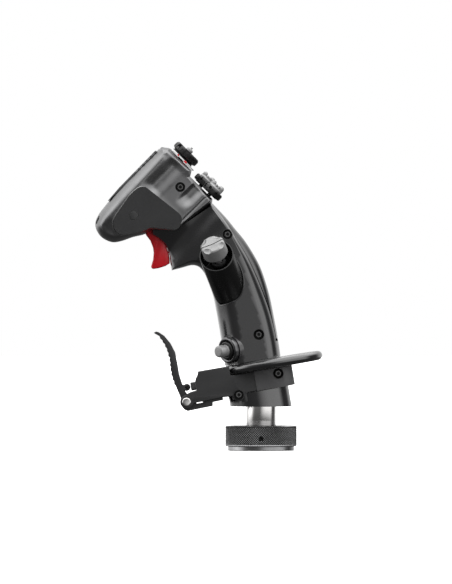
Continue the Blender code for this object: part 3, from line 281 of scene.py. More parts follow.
# The record's material slots.
materials = {
    "gloss_black": finish(
        "grip_black", (0.010, 0.010, 0.011), 0.18, relief=0.0012, spread=0.03, coat=1.0, specular=1.0
    ),
    "matte_black": finish("matte_black", (0.034, 0.034, 0.035), 0.52),
    "head_grey": finish("head_grey", (0.225, 0.225, 0.228), 0.34, metallic=1.0, relief=0.003),
    "ring_metal": finish("ring_metal", (0.33, 0.33, 0.335), 0.28, metallic=1.0, relief=0.01),
    "steel": finish("steel", (0.74, 0.73, 0.72), 0.14, metallic=1.0, relief=0.002, mottle=0.03, spread=0.03),
    "black_steel": finish("black_steel", (0.022, 0.022, 0.022), 0.26, metallic=0.8, relief=0.003),
    "button_black": finish("button_black", (0.014, 0.014, 0.014), 0.34, relief=0.008),
    "button_silver": finish("button_silver", (0.36, 0.36, 0.36), 0.38, metallic=0.35, relief=0.008),
    "bezel_metal": finish("bezel_metal", (0.13, 0.13, 0.133), 0.18, metallic=1.0, relief=0.002),
    "ring_clear": finish("ring_clear", (0.78, 0.78, 0.77), 0.22, relief=0.004, specular=0.7),
    "trigger_red": finish("trigger_red", (0.88, 0.014, 0.026), 0.34, relief=0.005),
    "board_green": finish("board_green", (0.02, 0.12, 0.05), 0.45, relief=0.03),
    "contact_brass": finish("contact_brass", (0.70, 0.50, 0.20), 0.30, metallic=1.0, relief=0.004),
    "loom_black": finish("loom_black", (0.02, 0.02, 0.02), 0.6, relief=0.05),
}
# Finishes of single pieces, which differ a little from their slot's.
HOUSING_GREY = finish("housing_grey", (0.13, 0.13, 0.132), 0.50)
TUBE_BLACK = finish("tube_black", (0.006, 0.006, 0.006), 0.24, relief=0.002, specular=0.45)
# A lighter copy of the head's metal for the bead round each side panel: its brightness is a painted
# highlight along the edge.
RIM_PAINTED_HIGHLIGHT = finish("rim_painted_highlight", (0.42, 0.42, 0.42), 0.30, metallic=1.0, relief=0.002)
SHADE_BLACK = finish("shade_black", (0.004, 0.004, 0.004), 0.75, relief=0.004, specular=0.1)
# Lighter grey metal on the screws' hex sockets, which paints each head's highlight.
SOCKET_PAINTED_HIGHLIGHT = finish("socket_painted_highlight", (0.16, 0.16, 0.16), 0.30, metallic=1.0, relief=0.002)
# The knurl's groove faces take this darker finish: painted shade in the grooves.
GROOVE_PAINTED_SHADE = finish("groove_painted_shade", (0.03, 0.03, 0.03), 0.5, metallic=0.6, relief=0.004)
PANEL_BLACK = finish("panel_black", (0.030, 0.030, 0.031), 0.46, relief=0.012)


# ---- Making and joining meshes -----------------------------------------------------------------
def attach(obj, node, *finishes, slot=None):
    """The piece rides with that node. It takes the slot's finish, or the given ones."""
    slot = slot or slot_of_node[node]
    for material in finishes or (materials[slot],):
        obj.data.materials.append(material)
    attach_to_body(obj, body_of_node[node])


def place(obj, node, *finishes):
    """The piece stands for that node."""
    attach(obj, node, *finishes)
    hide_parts(node)
    shaped.add(node)


def solid(name, work, matrix=None):
    """A linked object from a mesh worked in millimetres."""
    if matrix is not None:
        bmesh.ops.transform(work, matrix=matrix, verts=work.verts)
    bmesh.ops.scale(work, vec=(MM, MM, MM), verts=work.verts)
    bmesh.ops.recalc_face_normals(work, faces=work.faces)
    mesh = bpy.data.meshes.new(name)
    work.to_mesh(mesh)
    work.free()
    obj = bpy.data.objects.new(name, mesh)
    bpy.context.scene.collection.objects.link(obj)
    return obj


def seat(point, axis, turn=0.0):
    """A place at the point, with Z along the axis."""
    matrix = Vector(axis).to_track_quat("Z", "Y").to_matrix().to_4x4()
    matrix.translation = Vector(point)
    return matrix @ Matrix.Rotation(turn, 4, "Z")


def filleted(points, radius, steps=3, closed=False):
    """The outline with each corner rounded."""
    found = []
    count = len(points)
    for index, point in enumerate(points):
        corner = Vector(point)
        if not closed and index in (0, count - 1):
            found.append(tuple(corner))
            continue
        before = Vector(points[index - 1]) - corner
        after = Vector(points[(index + 1) % count]) - corner
        reach = min(radius, before.length * 0.45, after.length * 0.45)
        start = corner + before.normalized() * reach
        end = corner + after.normalized() * reach
        for step in range(steps + 1):
            t = step / steps
            found.append(tuple(start * (1 - t) ** 2 + corner * 2 * t * (1 - t) + end * t**2))
    return found


def turned(name, profile, matrix, sides=64, radius=0.25):
    """A profile of (radius, height) turned round Z. It is closed, or it runs from the axis to the axis."""
    closed = profile[0][0] > 0
    points = filleted(profile, radius, 3, closed) if radius else profile
    work = bmesh.new()
    loops = []
    for reach, height in points:
        if reach < 1e-6:
            loops.append([work.verts.new((0, 0, height))] * sides)
            continue
        loop = []
        for step in range(sides):
            angle = 2 * math.pi * step / sides
            loop.append(work.verts.new((reach * math.cos(angle), reach * math.sin(angle), height)))
        loops.append(loop)
    skin(work, loops, closed)
    return solid(name, work, matrix)


def skin(work, loops, closed):
    """Faces between loops of points. A loop on the axis is one point, so its faces are triangles."""
    for first, second in zip(loops, loops[1:] + loops[:1] if closed else loops[1:]):
        for step in range(len(first)):
            after = (step + 1) % len(first)
            face = list(dict.fromkeys([first[step], first[after], second[after], second[step]]))
            if len(face) > 2:
                work.faces.new(face)


def block(low, high, work=None):
    """A box added to a mesh."""
    work = work or bmesh.new()
    centre = (Vector(low) + Vector(high)) / 2
    size = Vector(high) - Vector(low)
    matrix = Matrix.Translation(centre) @ Matrix.Diagonal((*size, 1))
    bmesh.ops.create_cube(work, size=1, matrix=matrix)
    return work


def box(low, high, matrix=None):
    """A box to cut or join with."""
    return solid("cutter", block(low, high), matrix)


def rod(radius, low, high, point, axis, sides=48):
    """A round bar along the axis, to cut or join with."""
    profile = [(0, high), (radius, high), (radius, low), (0, low)]
    return turned("cutter", profile, seat(point, axis), sides, 0)


def around(count, low, high, matrix, turn=0.0):
    """Boxes set round a circle, as one cutter."""
    work = bmesh.new()
    for number in range(count):
        one = block(low, high)
        spin = Matrix.Rotation(turn + 2 * math.pi * number / count, 3, "Z")
        bmesh.ops.rotate(one, matrix=spin, verts=one.verts)
        mesh = bpy.data.meshes.new("one")
        one.to_mesh(mesh)
        one.free()
        work.from_mesh(mesh)
    return solid("cutter", work, matrix)


def extruded(name, outline, low, high, matrix):
    """A flat outline in X and Z, thick along Y."""
    work = bmesh.new()
    base = work.faces.new([work.verts.new((x, low, z)) for x, z in outline])
    top = bmesh.ops.extrude_face_region(work, geom=[base])["geom"]
    moved = [vert for vert in top if isinstance(vert, bmesh.types.BMVert)]
    bmesh.ops.translate(work, vec=(0, high - low, 0), verts=moved)
    return solid(name, work, matrix)


def carve(obj, *tools, operation="DIFFERENCE"):
    """The object cut by the tools, which are used up."""
    for tool in tools:
        change = obj.modifiers.new("cut", "BOOLEAN")
        change.operation = operation
        change.solver = "MANIFOLD"
        change.object = tool
    graph = bpy.context.evaluated_depsgraph_get()
    mesh = bpy.data.meshes.new_from_object(obj.evaluated_get(graph))
    mesh.materials.clear()
    obj.modifiers.clear()
    obj.data = mesh
    for tool in tools:
        bpy.data.objects.remove(tool)


def join(obj, *tools):
    carve(obj, *tools, operation="UNION")


def soften(obj, width=0.25, segments=3, angle=35):
    """Broken edges, and smooth faces between them."""
    obj.data.shade_smooth()
    if width:
        edge = obj.modifiers.new("edge", "BEVEL")
        edge.width = width * MM
        edge.segments = segments
        edge.limit_method = "ANGLE"
        edge.angle_limit = math.radians(angle)
        edge.use_clamp_overlap = True
        edge.harden_normals = True
    else:
        obj.data.set_sharp_from_angle(angle=math.radians(angle))
    return obj


def smoothed(obj, angle):
    """Smooth faces between sharp edges."""
    return soften(obj, width=0, angle=angle)


def refined(node, *finishes):
    """The node's own shape with its flat faces joined, its edges broken and its round faces smooth."""
    work = bmesh.new()
    work.from_mesh(frame["nodes"][node].data)
    bmesh.ops.remove_doubles(work, verts=work.verts, dist=2e-6)
    bmesh.ops.dissolve_limit(work, angle_limit=math.radians(1), verts=work.verts, edges=work.edges)
    bmesh.ops.scale(work, vec=(1 / MM, 1 / MM, 1 / MM), verts=work.verts)
    place(soften(solid(node + "_skin", work), angle=30), node, *finishes)


def bead(points, radius, closed=True):
    """A thin round bead along the points, as a mesh."""
    curve = bpy.data.curves.new("bead", "CURVE")
    curve.dimensions = "3D"
    curve.bevel_depth = radius * MM
    curve.bevel_resolution = 2
    curve.use_fill_caps = True
    line = curve.splines.new("POLY")
    line.points.add(len(points) - 1)
    for target, point in zip(line.points, points):
        target.co = (*(value * MM for value in point), 1)
    line.use_cyclic_u = closed
    obj = bpy.data.objects.new("bead", curve)
    bpy.context.scene.collection.objects.link(obj)
    graph = bpy.context.evaluated_depsgraph_get()
    mesh = bpy.data.meshes.new_from_object(obj.evaluated_get(graph))
    mesh.materials.clear()
    bpy.data.objects.remove(obj)
    return mesh


def add_mesh(obj, mesh):
    work = bmesh.new()
    work.from_mesh(obj.data)
    work.from_mesh(mesh)
    work.to_mesh(obj.data)
    work.free()


# ---- Rounded shells ----------------------------------------------------------------------------
def smooth(t):
    t = min(1.0, max(0.0, t))
    return t * t * (3 - 2 * t)


def smooth_run(points, spacing=1.6):
    """A smooth curve through the points. Each point is a tuple of numbers that all follow along."""
    vectors = [Vector(point) for point in points]
    found = []
    for index in range(len(vectors) - 1):
        start, end = vectors[index], vectors[index + 1]
        before = vectors[index - 1] if index else start * 2 - end
        after = vectors[index + 2] if index + 2 < len(vectors) else end * 2 - start
        length = (Vector(end[:2]) - Vector(start[:2])).length
        count = max(1, round(length / spacing))
        for step in range(count):
            t = step / count
            found.append(
                0.5
                * (
                    2 * start
                    + (end - before) * t
                    + (2 * before - 5 * start + 4 * end - after) * t**2
                    + (3 * start - before - 3 * end + after) * t**3
                )
            )
    found.append(vectors[-1])
    return found


def line_at(run, share):
    """The point that far along a run of points."""
    lengths = [(b - a).length for a, b in zip(run, run[1:])]
    goal = share * sum(lengths)
    for start, end, length in zip(run, run[1:], lengths):
        if goal <= length:
            return start.lerp(end, goal / length)
        goal -= length
    return run[-1]


def outline_of(runs):
    """Closed outline from smooth runs that share their end points: (x, z, rounding, half width)."""
    points = []
    for run in runs:
        points += smooth_run(run)[:-1]
    return points


def insets_of(points):
    """How far each point of a clockwise outline moves in. Those beside a corner slide, so none cross."""
    flat = [Vector(point[:2]) for point in points]
    count = len(flat)
    found = []
    corners = {}
    for index, here in enumerate(flat):
        first = (here - flat[index - 1]).normalized()
        second = (flat[(index + 1) % count] - here).normalized()
        middle = first + second
        normal = Vector((middle.y, -middle.x)).normalized()
        found.append(normal * points[index][2] / max(0.55, normal.dot(Vector((first.y, -first.x)))))
        bend = math.acos(max(-1.0, min(1.0, first.dot(second))))
        if bend > math.radians(20):
            corners[index] = bend if first.cross(second) < 0 else 0.0
    for index, bend in corners.items():
        slide = points[index][2] * min(1.5, math.tan(bend / 2))
        reach = 2.5 * slide
        for step in (-1, 1):
            gone = 0.0
            last = index
            while slide:
                after = (last + step) % count
                along = flat[after] - flat[last]
                gone += along.length
                if gone >= reach or after in corners:
                    break
                found[after] += along.normalized() * slide * (1 - gone / reach)
                last = after
    return found


def within(polygon, x, z):
    found = False
    for first, second in zip(polygon, polygon[1:] + polygon[:1]):
        if (first.y > z) != (second.y > z):
            if x < (second.x - first.x) * (z - first.y) / (second.y - first.y) + first.x:
                found = not found
    return found


def face_spots(rim, pitch):
    """Points on a staggered grid inside the rim."""
    low_x, high_x = min(p.x for p in rim), max(p.x for p in rim)
    low_z, high_z = min(p.y for p in rim), max(p.y for p in rim)
    rows = max(2, int((high_z - low_z) / pitch))
    columns = max(2, int((high_x - low_x) / pitch))
    near = (pitch * 0.6) ** 2
    found = []
    for row in range(1, rows):
        z = low_z + (high_z - low_z) * row / rows
        for column in range(1, columns):
            x = low_x + (high_x - low_x) * (column + 0.5 * (row % 2)) / columns
            if min((p.x - x) ** 2 + (p.y - z) ** 2 for p in rim) > near and within(rim, x, z):
                found.append(Vector((x, z)))
    return found


def relaxed(values, fixed, faces, rounds=900):
    """The values after the fixed ones, each the mean of its neighbours, as a stretched skin lies."""
    ends = set()
    for face in faces:
        for first, second in zip(face, face[1:] + face[:1]):
            ends.add((first, second))
            ends.add((second, first))
    first, second = np.array(sorted(ends)).T
    count = np.maximum(1, np.bincount(first, minlength=len(values)))
    values = np.array(values)
    free = np.arange(len(values)) >= fixed
    for _ in range(rounds):
        mean = np.bincount(first, weights=values[second], minlength=len(values)) / count
        values[free] = mean[free]
    return values


def shell(name, points, side, dent=None, start=0.15, steps=12, pitch=1.8, crease=90, matrix=None):
    """Half of a rounded body: an elliptic edge all round, and a face that follows its edge's width."""
    insets = insets_of(points)
    work = bmesh.new()
    rings = []
    limit = math.radians(crease)
    for step in range(steps + 1):
        angle = limit * step / steps
        share = math.sin(angle) / math.sin(limit)
        travel = (1 - math.cos(angle)) / (1 - math.cos(limit))
        ring = []
        rim = []
        plain = []
        for (x, z, _, width), inset in zip(points, insets):
            spot = Vector((x, z)) + inset * travel
            depth = start + share * (width - start)
            rim.append(spot)
            plain.append(depth)
            if dent:
                depth -= dent(spot.x, spot.y) * share
            ring.append(work.verts.new((spot.x, side * depth, spot.y)))
        rings.append(ring)
    skin(work, rings, False)
    work.faces.new(rings[0])

    edges = [(index, (index + 1) % len(rim)) for index in range(len(rim))]
    spots, _, faces, *_ = geometry.delaunay_2d_cdt(rim + face_spots(rim, pitch), edges, [], 1, 1e-6)
    middle = sum(plain) / len(plain)
    depths = relaxed(plain + [middle] * (len(spots) - len(rim)), len(rim), [list(f) for f in faces])
    verts = list(rings[-1])
    for spot, depth in list(zip(spots, depths))[len(rim) :]:
        depth -= dent(spot.x, spot.y) if dent else 0
        verts.append(work.verts.new((spot.x, side * depth, spot.y)))
    for face in faces:
        work.faces.new([verts[index] for index in face])
    return solid(name, work, matrix)


def hollow_of(points, side, matrix=None):
    """What a shell is hollowed with, from points of (x, z, half width)."""
    outline = [(x, z, 3, half) for x, z, half in points]
    return shell("hollow", outline, side, start=-2.0, steps=4, pitch=6.0, matrix=matrix)


def loom_passage():
    """The way of the wires from the grip into the head, cut through all four shells."""
    return rod(5.5, -13, 13, (-46, 0, 158.5), (-0.6, 0, 0.8))


# ---- Grip --------------------------------------------------------------------------------------
GRIP_HALF = 18.35
GRIP_FOOT = 32.25
FRONT_ROUND = 12.8
BACK_ROUND = 8.5
# The left shell ends at the seam, and the right one curves on to the back.
SEAM_EDGE = [
    (-24.9, 161.0),
    (-19.1, 152.4),
    (-14.1, 144.6),
    (-8.4, 135.3),
    (-2.7, 123.8),
    (3.4, 108.7),
    (8.0, 94.7),
    (12.0, 77.0),
]
BACK_EDGE = [
    (-24.6, 163.0),
    (-18.1, 155.0),
    (-11.3, 146.7),
    (-4.1, 135.3),
    (0.6, 125.5),
    (5.6, 109.7),
    (8.8, 94.7),
    (12.0, 77.0),
]
GRIP_HOLLOW = [
    (-17.5, 55.0, 14.6),
    (-20.5, 80.0, 14.6),
    (-24.0, 98.0, 14.6),
    (-27.0, 109.0, 14.6),
    (-35.0, 122.0, 15.2),
    (-40.0, 131.0, 14.0),
    (-47.0, 136.0, 11.5),
    (-51.0, 150.0, 11.5),
    (-37.0, 163.0, 13.5),
    (-28.0, 156.5, 14.0),
    (-18.0, 142.5, 14.8),
    (-7.5, 124.0, 15.2),
    (-1.5, 108.0, 15.2),
    (2.5, 94.0, 15.2),
    (6.5, 77.0, 15.2),
    (10.5, 55.0, 15.2),
]


def grip_outline(edge):
    """The grip from the side, clockwise from its foot: front, finger guard, top, and down the back."""
    wide = GRIP_HALF
    front = [
        (-23.2, 44.0, FRONT_ROUND, wide),
        (-25.4, 59.4, FRONT_ROUND, wide),
        (-28.2, 79.4, FRONT_ROUND, wide),
        (-31.4, 97.9, FRONT_ROUND, wide),
        (-33.8, 109.1, 12.0, wide),
        (-37.9, 120.4, 9.0, wide),
        (-40.6, 125.4, 7.0, wide),
        (-43.8, 128.6, 5.0, wide - 1),
        (-48.5, 129.6, 3.4, wide - 2.5),
        (-55.5, 127.8, 2.2, 14.0),
        (-62.6, 126.0, 1.4, 12.0),
    ]
    guard = [
        front[-1],
        (-63.8, 131.0, 1.4, 12.0),
        (-64.8, 137.1, 1.4, 12.0),
        (-67.1, 142.9, 1.4, 12.5),
        (-70.9, 147.1, 1.4, 13.0),
        (-76.4, 150.9, 1.2, 13.0),
    ]
    top = [
        guard[-1],
        (-76.6, 155.0, 0.8, 13.5),
        (-58.4, 155.2, 0.8, 16.0),
        (-54.5, 159.0, 1.0, 17.0),
        (-34.8, 173.6, 2.0, 17.5),
    ]
    softness = [2.4, 2.8, 3.6, 5.0, 6.8, BACK_ROUND, BACK_ROUND, BACK_ROUND]
    back = [(x, z, soft, wide) for (x, z), soft in zip(edge, softness)]
    rear = [top[-1], *back, (14.6, 58.6, BACK_ROUND, wide), (16.6, 44.0, BACK_ROUND, wide)]
    foot = [rear[-1], front[0]]
    return outline_of([front, guard, *zip(top, top[1:]), rear, foot])


def grip_dents(x, z):
    """The grip's sides draw in towards the head."""
    return 3.6 * smooth(((z - x) / math.sqrt(2) - 131) / 15)


def grip():
    foot_x, foot_z = base_point(0, GRIP_FOOT)
    for side, hand, edge in ((-1, "left", SEAM_EDGE), (1, "right", BACK_EDGE)):
        obj = shell("grip_shell_" + hand + "_skin", grip_outline(edge), side, grip_dents, crease=84)
        tools = [
            hollow_of(GRIP_HOLLOW, side),
            box((-90, -7.2, 128.6), (-56.5, 7.2, 160.5)),
            loom_passage(),
            rod(60, -40, 0, (foot_x, 0, foot_z), BASE_AXIS, 64),
        ]
        if side < 0:
            tools += [rod(3.7, 14.4, 30, (x, 0, z), LEFT) for x, z in GRIP_SCREWS.values()]
            trace = tube_outline(obj)
        carve(obj, *tools)
        if side < 0:
            seat_controls(obj)
        place(smoothed(obj, 32), "grip_shell_" + hand)
        if side < 0:
            add_mesh(obj, bead(trace, 0.34, False))
    lip()


def seat_controls(obj):
    """Room for the side hat's tube, and a boss with a bored seat for the pinky button."""
    carve(obj, rod(SIDE_TUBE + 0.32, -37.5, 5, SIDE_HAT_RIM, SIDE_HAT_AXIS, 96))
    join(obj, rod(9.6, -4.5, 0, PINKY_SEAT, PINKY_AXIS))
    face = rod(10.7, 0, 8, PINKY_SEAT, PINKY_AXIS, 64)
    carve(obj, face, rod(6.1, -12, 5, PINKY_SEAT, PINKY_AXIS))


def tube_outline(obj):
    """Where the side hat's tube breaks out of the grip's side, from its front round to its rear."""
    faces = [face.vertices for face in obj.data.polygons]
    surface = BVHTree.FromPolygons([vert.co for vert in obj.data.vertices], faces)
    axis = Vector(SIDE_HAT_AXIS).normalized()
    centre = Vector(SIDE_HAT_RIM) + axis * 40
    across = (Vector((1, 0, 0)) - axis * axis.x).normalized()
    down = axis.cross(across)
    if down.z > 0:
        down.negate()
    points = []
    for step in range(97):
        angle = math.radians(-35 + 165 * step / 96)
        way = across * math.cos(angle) + down * math.sin(angle)
        spot, *_ = surface.ray_cast((centre + way * (SIDE_TUBE + 0.72)) * MM, -axis)
        if spot is not None:
            points.append(spot / MM)
    return points


def lip():
    """The right shell's rear edge, which curves away past the left shell."""
    inner = smooth_run([(-35.2, 173.2)] + SEAM_EDGE, 2.0)
    outer = smooth_run([(-33.6, 172.6)] + BACK_EDGE, 2.0)
    count = 48
    depth = 9.0
    turns = [math.radians(25 + 65 * step / 8) for step in range(9)]
    low, high = math.sin(turns[0]), math.cos(turns[0])
    work = bmesh.new()
    stations = []
    for number in range(count + 1):
        near, far = (line_at(run, number / count) for run in (inner, outer))
        near = near + (near - far).normalized() * 0.9
        loop = []
        for turn in turns:
            spot = near.lerp(far, (math.sin(turn) - low) / (1 - low))
            loop.append(work.verts.new((spot.x, -depth * math.cos(turn) / high, spot.y)))
        loop.append(work.verts.new((near.x, 0.0, near.y)))
        stations.append(loop)
    skin(work, stations, False)
    work.faces.new(stations[0])
    work.faces.new(stations[-1])
    attach(smoothed(solid("grip_rear_lip", work), 40), "grip_shell_right")


# ---- Head --------------------------------------------------------------------------------------
HEAD_HALF = 23.0
HEAD_REAR_HALF = 21.0
HEAD_HOLLOW = [
    (100.4, 193.0, 16.6),
    (100.4, 176.5, 16.6),
    (96.9, 174.0, 17.0),
    (96.4, 152.2, 17.0),
    (70.0, 154.5, 18.5),
    (57.0, 167.0, 19.5),
    (46.0, 172.5, 19.0),
    (38.0, 177.0, 18.0),
    (36.0, 184.0, 17.5),
    (38.0, 190.0, 17.5),
    (46.0, 194.0, 18.0),
    (60.0, 195.0, 18.0),
    (91.0, 195.0, 16.5),
]


def head_dents(out, up):
    """A wide hollow under the slanted face, a pocket below the screw, and a groove above the lower lip."""
    if up >= 183.8:
        hollow = 3.0 * smooth((192.3 - up) / 8.5)
    else:
        hollow = (0.7 + 2.3 * smooth((up - 174.0) / 9.8)) * smooth((up - 153) / 8)
    pocket = smooth((166.5 - up) / 3) if up >= 161 else smooth((up - 154) / 7)
    rear = 1 - 0.5 * smooth((out - 97) / 6)
    depth = hollow * smooth((out - 69) / 9) * rear + 2.2 * pocket * smooth((out - 80) / 10) * rear
    return depth + 0.7 * math.exp(-(((up - 152.4) / 0.8) ** 2)) * smooth((out - 72) / 4)


def head_outline():
    """The head from the side: its rounded top and nose as one run, then the corners of its rear."""
    wide, rear = HEAD_HALF, HEAD_REAR_HALF
    top = [
        (101.0, 199.2, 5.0, rear - 1),
        (96.0, 199.6, 7.0, rear),
        (78.0, 199.6, 8.0, wide - 1),
        (60.0, 199.4, 8.4, wide),
        (44.0, 198.2, 8.4, wide),
        (36.0, 197.0, 7.6, wide - 1),
        (30.5, 194.6, 6.6, wide - 2),
        (27.6, 190.4, 5.8, wide - 2.5),
        (26.6, 184.6, 5.4, wide - 2.5),
        (28.1, 179.0, 5.0, wide - 2),
        (30.6, 175.4, 4.8, wide - 2),
        (35.4, 172.2, 4.4, wide - 1),
        (42.3, 168.9, 3.6, wide),
        (49.8, 164.3, 2.6, wide),
        (54.9, 163.2, 2.2, wide),
    ]
    corners = [
        top[0],
        (104.3, 195.0, 3.6, rear - 1),
        (104.3, 172.9, 2.0, rear),
        (100.5, 170.6, 2.0, rear),
        (100.5, 148.5, 2.2, rear),
        (98.3, 146.8, 2.0, rear),
        (74.1, 149.8, 1.8, wide - 1),
        (68.5, 149.4, 2.2, wide),
        top[-1],
    ]
    return outline_of([list(reversed(top)), *zip(corners, corners[1:])])


def head():
    screw_x, screw_z = head_point(*HEAD_SCREW)
    for side, hand in ((-1, "left"), (1, "right")):
        name = "head_shell_" + hand
        obj = shell(name + "_skin", head_outline(), side, head_dents, pitch=0.9, matrix=HEAD_TURN)
        up, across = LOWER_HATS["tms" if side > 0 else "dms"]
        tools = [
            hollow_of(HEAD_HOLLOW, side, HEAD_TURN),
            box((-82.6, -7.2, 138), (-56.5, 7.2, 160.5)),
            loom_passage(),
        ]
        for height, shift, radius in ((TRIM_HAT_UP, 0.0, 5.2), (up, across, 4.0)):
            x, z = head_point(0, height)
            tools.append(rod(radius, 93, 110, (x, shift, z), HEAD_OUT))
        tools.append(rod(3.1, -2.4, 4, (-114.1, side * 11.0, 161.4), (-0.87, side * 0.45, 0.2)))
        if side < 0:
            tools.append(rod(3.5, 18.6, 30, (screw_x, 0, screw_z), LEFT))
            tools.append(rod(2.9, 196, 215, (-69.9, -4.5, 0), UP))
        carve(obj, *tools)
        place(smoothed(obj, 32), name)


# ---- Coupling and base -------------------------------------------------------------------------
KNURL_RADIUS = 25.1
KNURL_LOW, KNURL_HIGH = 3.5, 16.9
KNURL_PITCH = 1.643
KNURL_CUT = 0.5
RING_SIDES = 576
COLLAR_RADIUS = 21.3
REST_RADIUS = 34.85
REST_ROUND = 3.2
REST_CENTRE = (13.4, 28.5)


def knurled():
    """Loops of the knurled band: crossing grooves leave a field of small diamonds."""

    def wave(value):
        return abs(2 * (value % 1) - 1)

    loops = []
    rows = round((KNURL_HIGH - KNURL_LOW) / KNURL_PITCH * 6)
    for row in range(rows + 1):
        z = KNURL_LOW + (KNURL_HIGH - KNURL_LOW) * row / rows
        fade = min(1, min(row, rows - row) / 3)
        loop = []
        for step in range(RING_SIDES):
            angle = 2 * math.pi * step / RING_SIDES
            along = angle * KNURL_RADIUS / KNURL_PITCH
            top = min(wave(along + z / KNURL_PITCH), wave(along - z / KNURL_PITCH))
            reach = KNURL_RADIUS - KNURL_CUT * (1 - top) * fade
            loop.append((reach * math.cos(angle), reach * math.sin(angle), z))
        loops.append(loop)
    return loops


def coupling_ring():
    inside = [(18.6, 0.0), (18.0, 0.6), (18.0, 14.4), (11.0, 14.4), (11.0, 17.4), (24.3, 17.4), (24.9, 17.1)]
    outside = [(24.9, 3.3), (24.5, 3.0), (23.3, 3.0), (23.1, 2.8), (23.1, 0.4), (22.7, 0.0)]

    def loop_of(reach, z):
        turns = [2 * math.pi * step / RING_SIDES for step in range(RING_SIDES)]
        return [(reach * math.cos(turn), reach * math.sin(turn), z) for turn in turns]

    work = bmesh.new()
    loops = [loop_of(*point) for point in inside]
    loops += list(reversed(knurled()))
    loops += [loop_of(*point) for point in outside]
    skin(work, [[work.verts.new(spot) for spot in loop] for loop in loops], True)
    obj = solid("locking_ring_skin", work)
    carve(obj, rod(1.65, 0, 9, (0, -25.6, 8.5), (0, 1, 0), 32))
    place(smoothed(obj, 16), "locking_ring", materials["ring_metal"], GROOVE_PAINTED_SHADE)
    # Faces deep in the knurl's grooves take the second, darker finish, which paints the shade in them.
    for face in obj.data.polygons:
        x, y, z = face.center / MM
        face.material_index = int(3.6 < z < 16.8 and 20 < math.hypot(x, y) < 24.86)


def collar():
    obj = rod(COLLAR_RADIUS, -6, 11, BASE_CENTRE, BASE_AXIS, 192)
    obj.name = "base_collar_skin"
    join(obj, box((-18.6, -17.2, 8), (-10.2, 17.2, 15), BASE_TURN))
    bores = []
    x, z = base_point(*BASE_SCREWS["plate_screw_left"])
    for side in (-1, 1):
        low, high = sorted((side * 17.2, side * 24))
        bores.append(box((-25, low, 5.2), (-8.4, high, 16), BASE_TURN))
        bores.append(rod(1.7, 10.5, 30, (x, 0, z), (0, side, 0), 24))
    foot = box((-40, -40, 0), (40, 40, COLLAR_BOTTOM))
    carve(obj, foot, rod(10.6, 20, 60, (0, 0, 0), UP, 96), *bores)
    place(soften(obj, 0.5, 4, 40), "base_collar")


def hand_rest():
    inner = REST_RADIUS - 2 * REST_ROUND
    edge = []
    for step in range(25):
        turn = math.radians(90 - 7.5 * step)
        edge.append((REST_RADIUS - REST_ROUND + REST_ROUND * math.cos(turn), REST_ROUND * math.sin(turn)))
    upper = [(0, 1.3), (inner - 2.5, 1.3), (inner - 0.5, 1.6), (inner + 1.2, 2.3)]
    lower = [(reach, -height) for reach, height in reversed(upper)]
    x, z = base_point(*REST_CENTRE)
    obj = turned("hand_rest_skin", upper + edge + lower, seat((x, 0, z), BASE_AXIS), 224, 0)
    join(obj, rod(19.8, 25.2, 32.0, BASE_CENTRE, BASE_AXIS, 160))
    carve(obj, rod(9.8, 10, 50, BASE_CENTRE, BASE_AXIS, 96))
    place(soften(obj, 0.6, 4, 40), "hand_rest")


def sockets():
    """The six-sided sockets of the screws on the left, in a lighter grey that paints each head's highlight,
    and a matte black ring of painted shade over each recess.
    """
    faces = {"head_screw": (*head_point(*HEAD_SCREW), HEAD_SCREW_FACE)}
    spots = dict(GRIP_SCREWS)
    spots.update((node, base_point(*spot)) for node, spot in BASE_SCREWS.items())
    for node, (x, z) in spots.items():
        low = Vector(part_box(node)[0]) / MM
        faces[node] = (x, z, low.y)
    for node, (x, z, y) in faces.items():
        # The hex socket is lighter grey than the screw: a painted highlight on each head.
        profile = [(1.25, 0.12), (2.1, 0.12), (2.1, -0.1), (1.25, -0.1)]
        socket = turned(node + "_socket", profile, seat((x, y, z), LEFT, 0.3), 6, 0)
        attach(soften(socket, 0.06), node, SOCKET_PAINTED_HIGHLIGHT)
        # A matte black ring of painted shade over each screw's recess.
        profile = [(2.0, 0.03), (3.3, 0.03), (3.3, -0.2), (2.0, -0.2)]
        recess_shade = turned(node + "_washer", profile, seat((x, y, z), LEFT), 64, 0)
        attach(soften(recess_shade, 0.02), node, SHADE_BLACK)


# ---- Hats and buttons --------------------------------------------------------------------------
# The knobs on a lower hat's crown: radius, top, and their place along X and Y.
KNOBS = [
    (1.75, 13.6, 0.2, 3.5),
    (2.2, 14.0, -0.2, -3.1),
    (0.95, 12.7, -3.6, 0.9),
    (0.95, 12.9, -3.4, -1.3),
    (0.95, 12.7, 3.5, 0.9),
    (0.95, 12.9, 3.4, -1.3),
    (0.9, 12.4, 0, 0.2),
]
KNOB_FOOT = 9.5


def hat_seat(up, across, out):
    """X away from the left side, Y up the head's slope and Z out, for a hat."""
    x, z = head_point(out, up)
    half = math.sqrt(0.5)
    return Matrix(((0, -half, half, x), (1, 0, 0, across), (0, half, half, z), (0, 0, 0, 1)))


def knob(radius, top, x, y, matrix):
    """A round-topped knob to join to a crown."""
    profile = [(0, top)]
    for step in range(1, 7):
        angle = math.radians(15 * step)
        profile.append((radius * math.sin(angle), top - radius * (1 - math.cos(angle))))
    profile += [(radius * 1.05, KNOB_FOOT), (0, KNOB_FOOT)]
    return turned("cutter", profile, matrix @ Matrix.Translation((x, y, 0)), 32, 0)


def boot(name, radius, low, high, pivot, node):
    """A black collar under a hat. It is cut from a ball round the pivot, so it stays clear in a tilt."""
    profile = [(0, high)]
    for step in range(7):
        height = high - (high - low) * step / 6
        profile.append((math.sqrt(radius**2 - height**2), height))
    profile.append((0, low))
    obj = turned(name, profile, pivot, 96, 0)
    attach(smoothed(obj, 35), node, materials["button_black"])


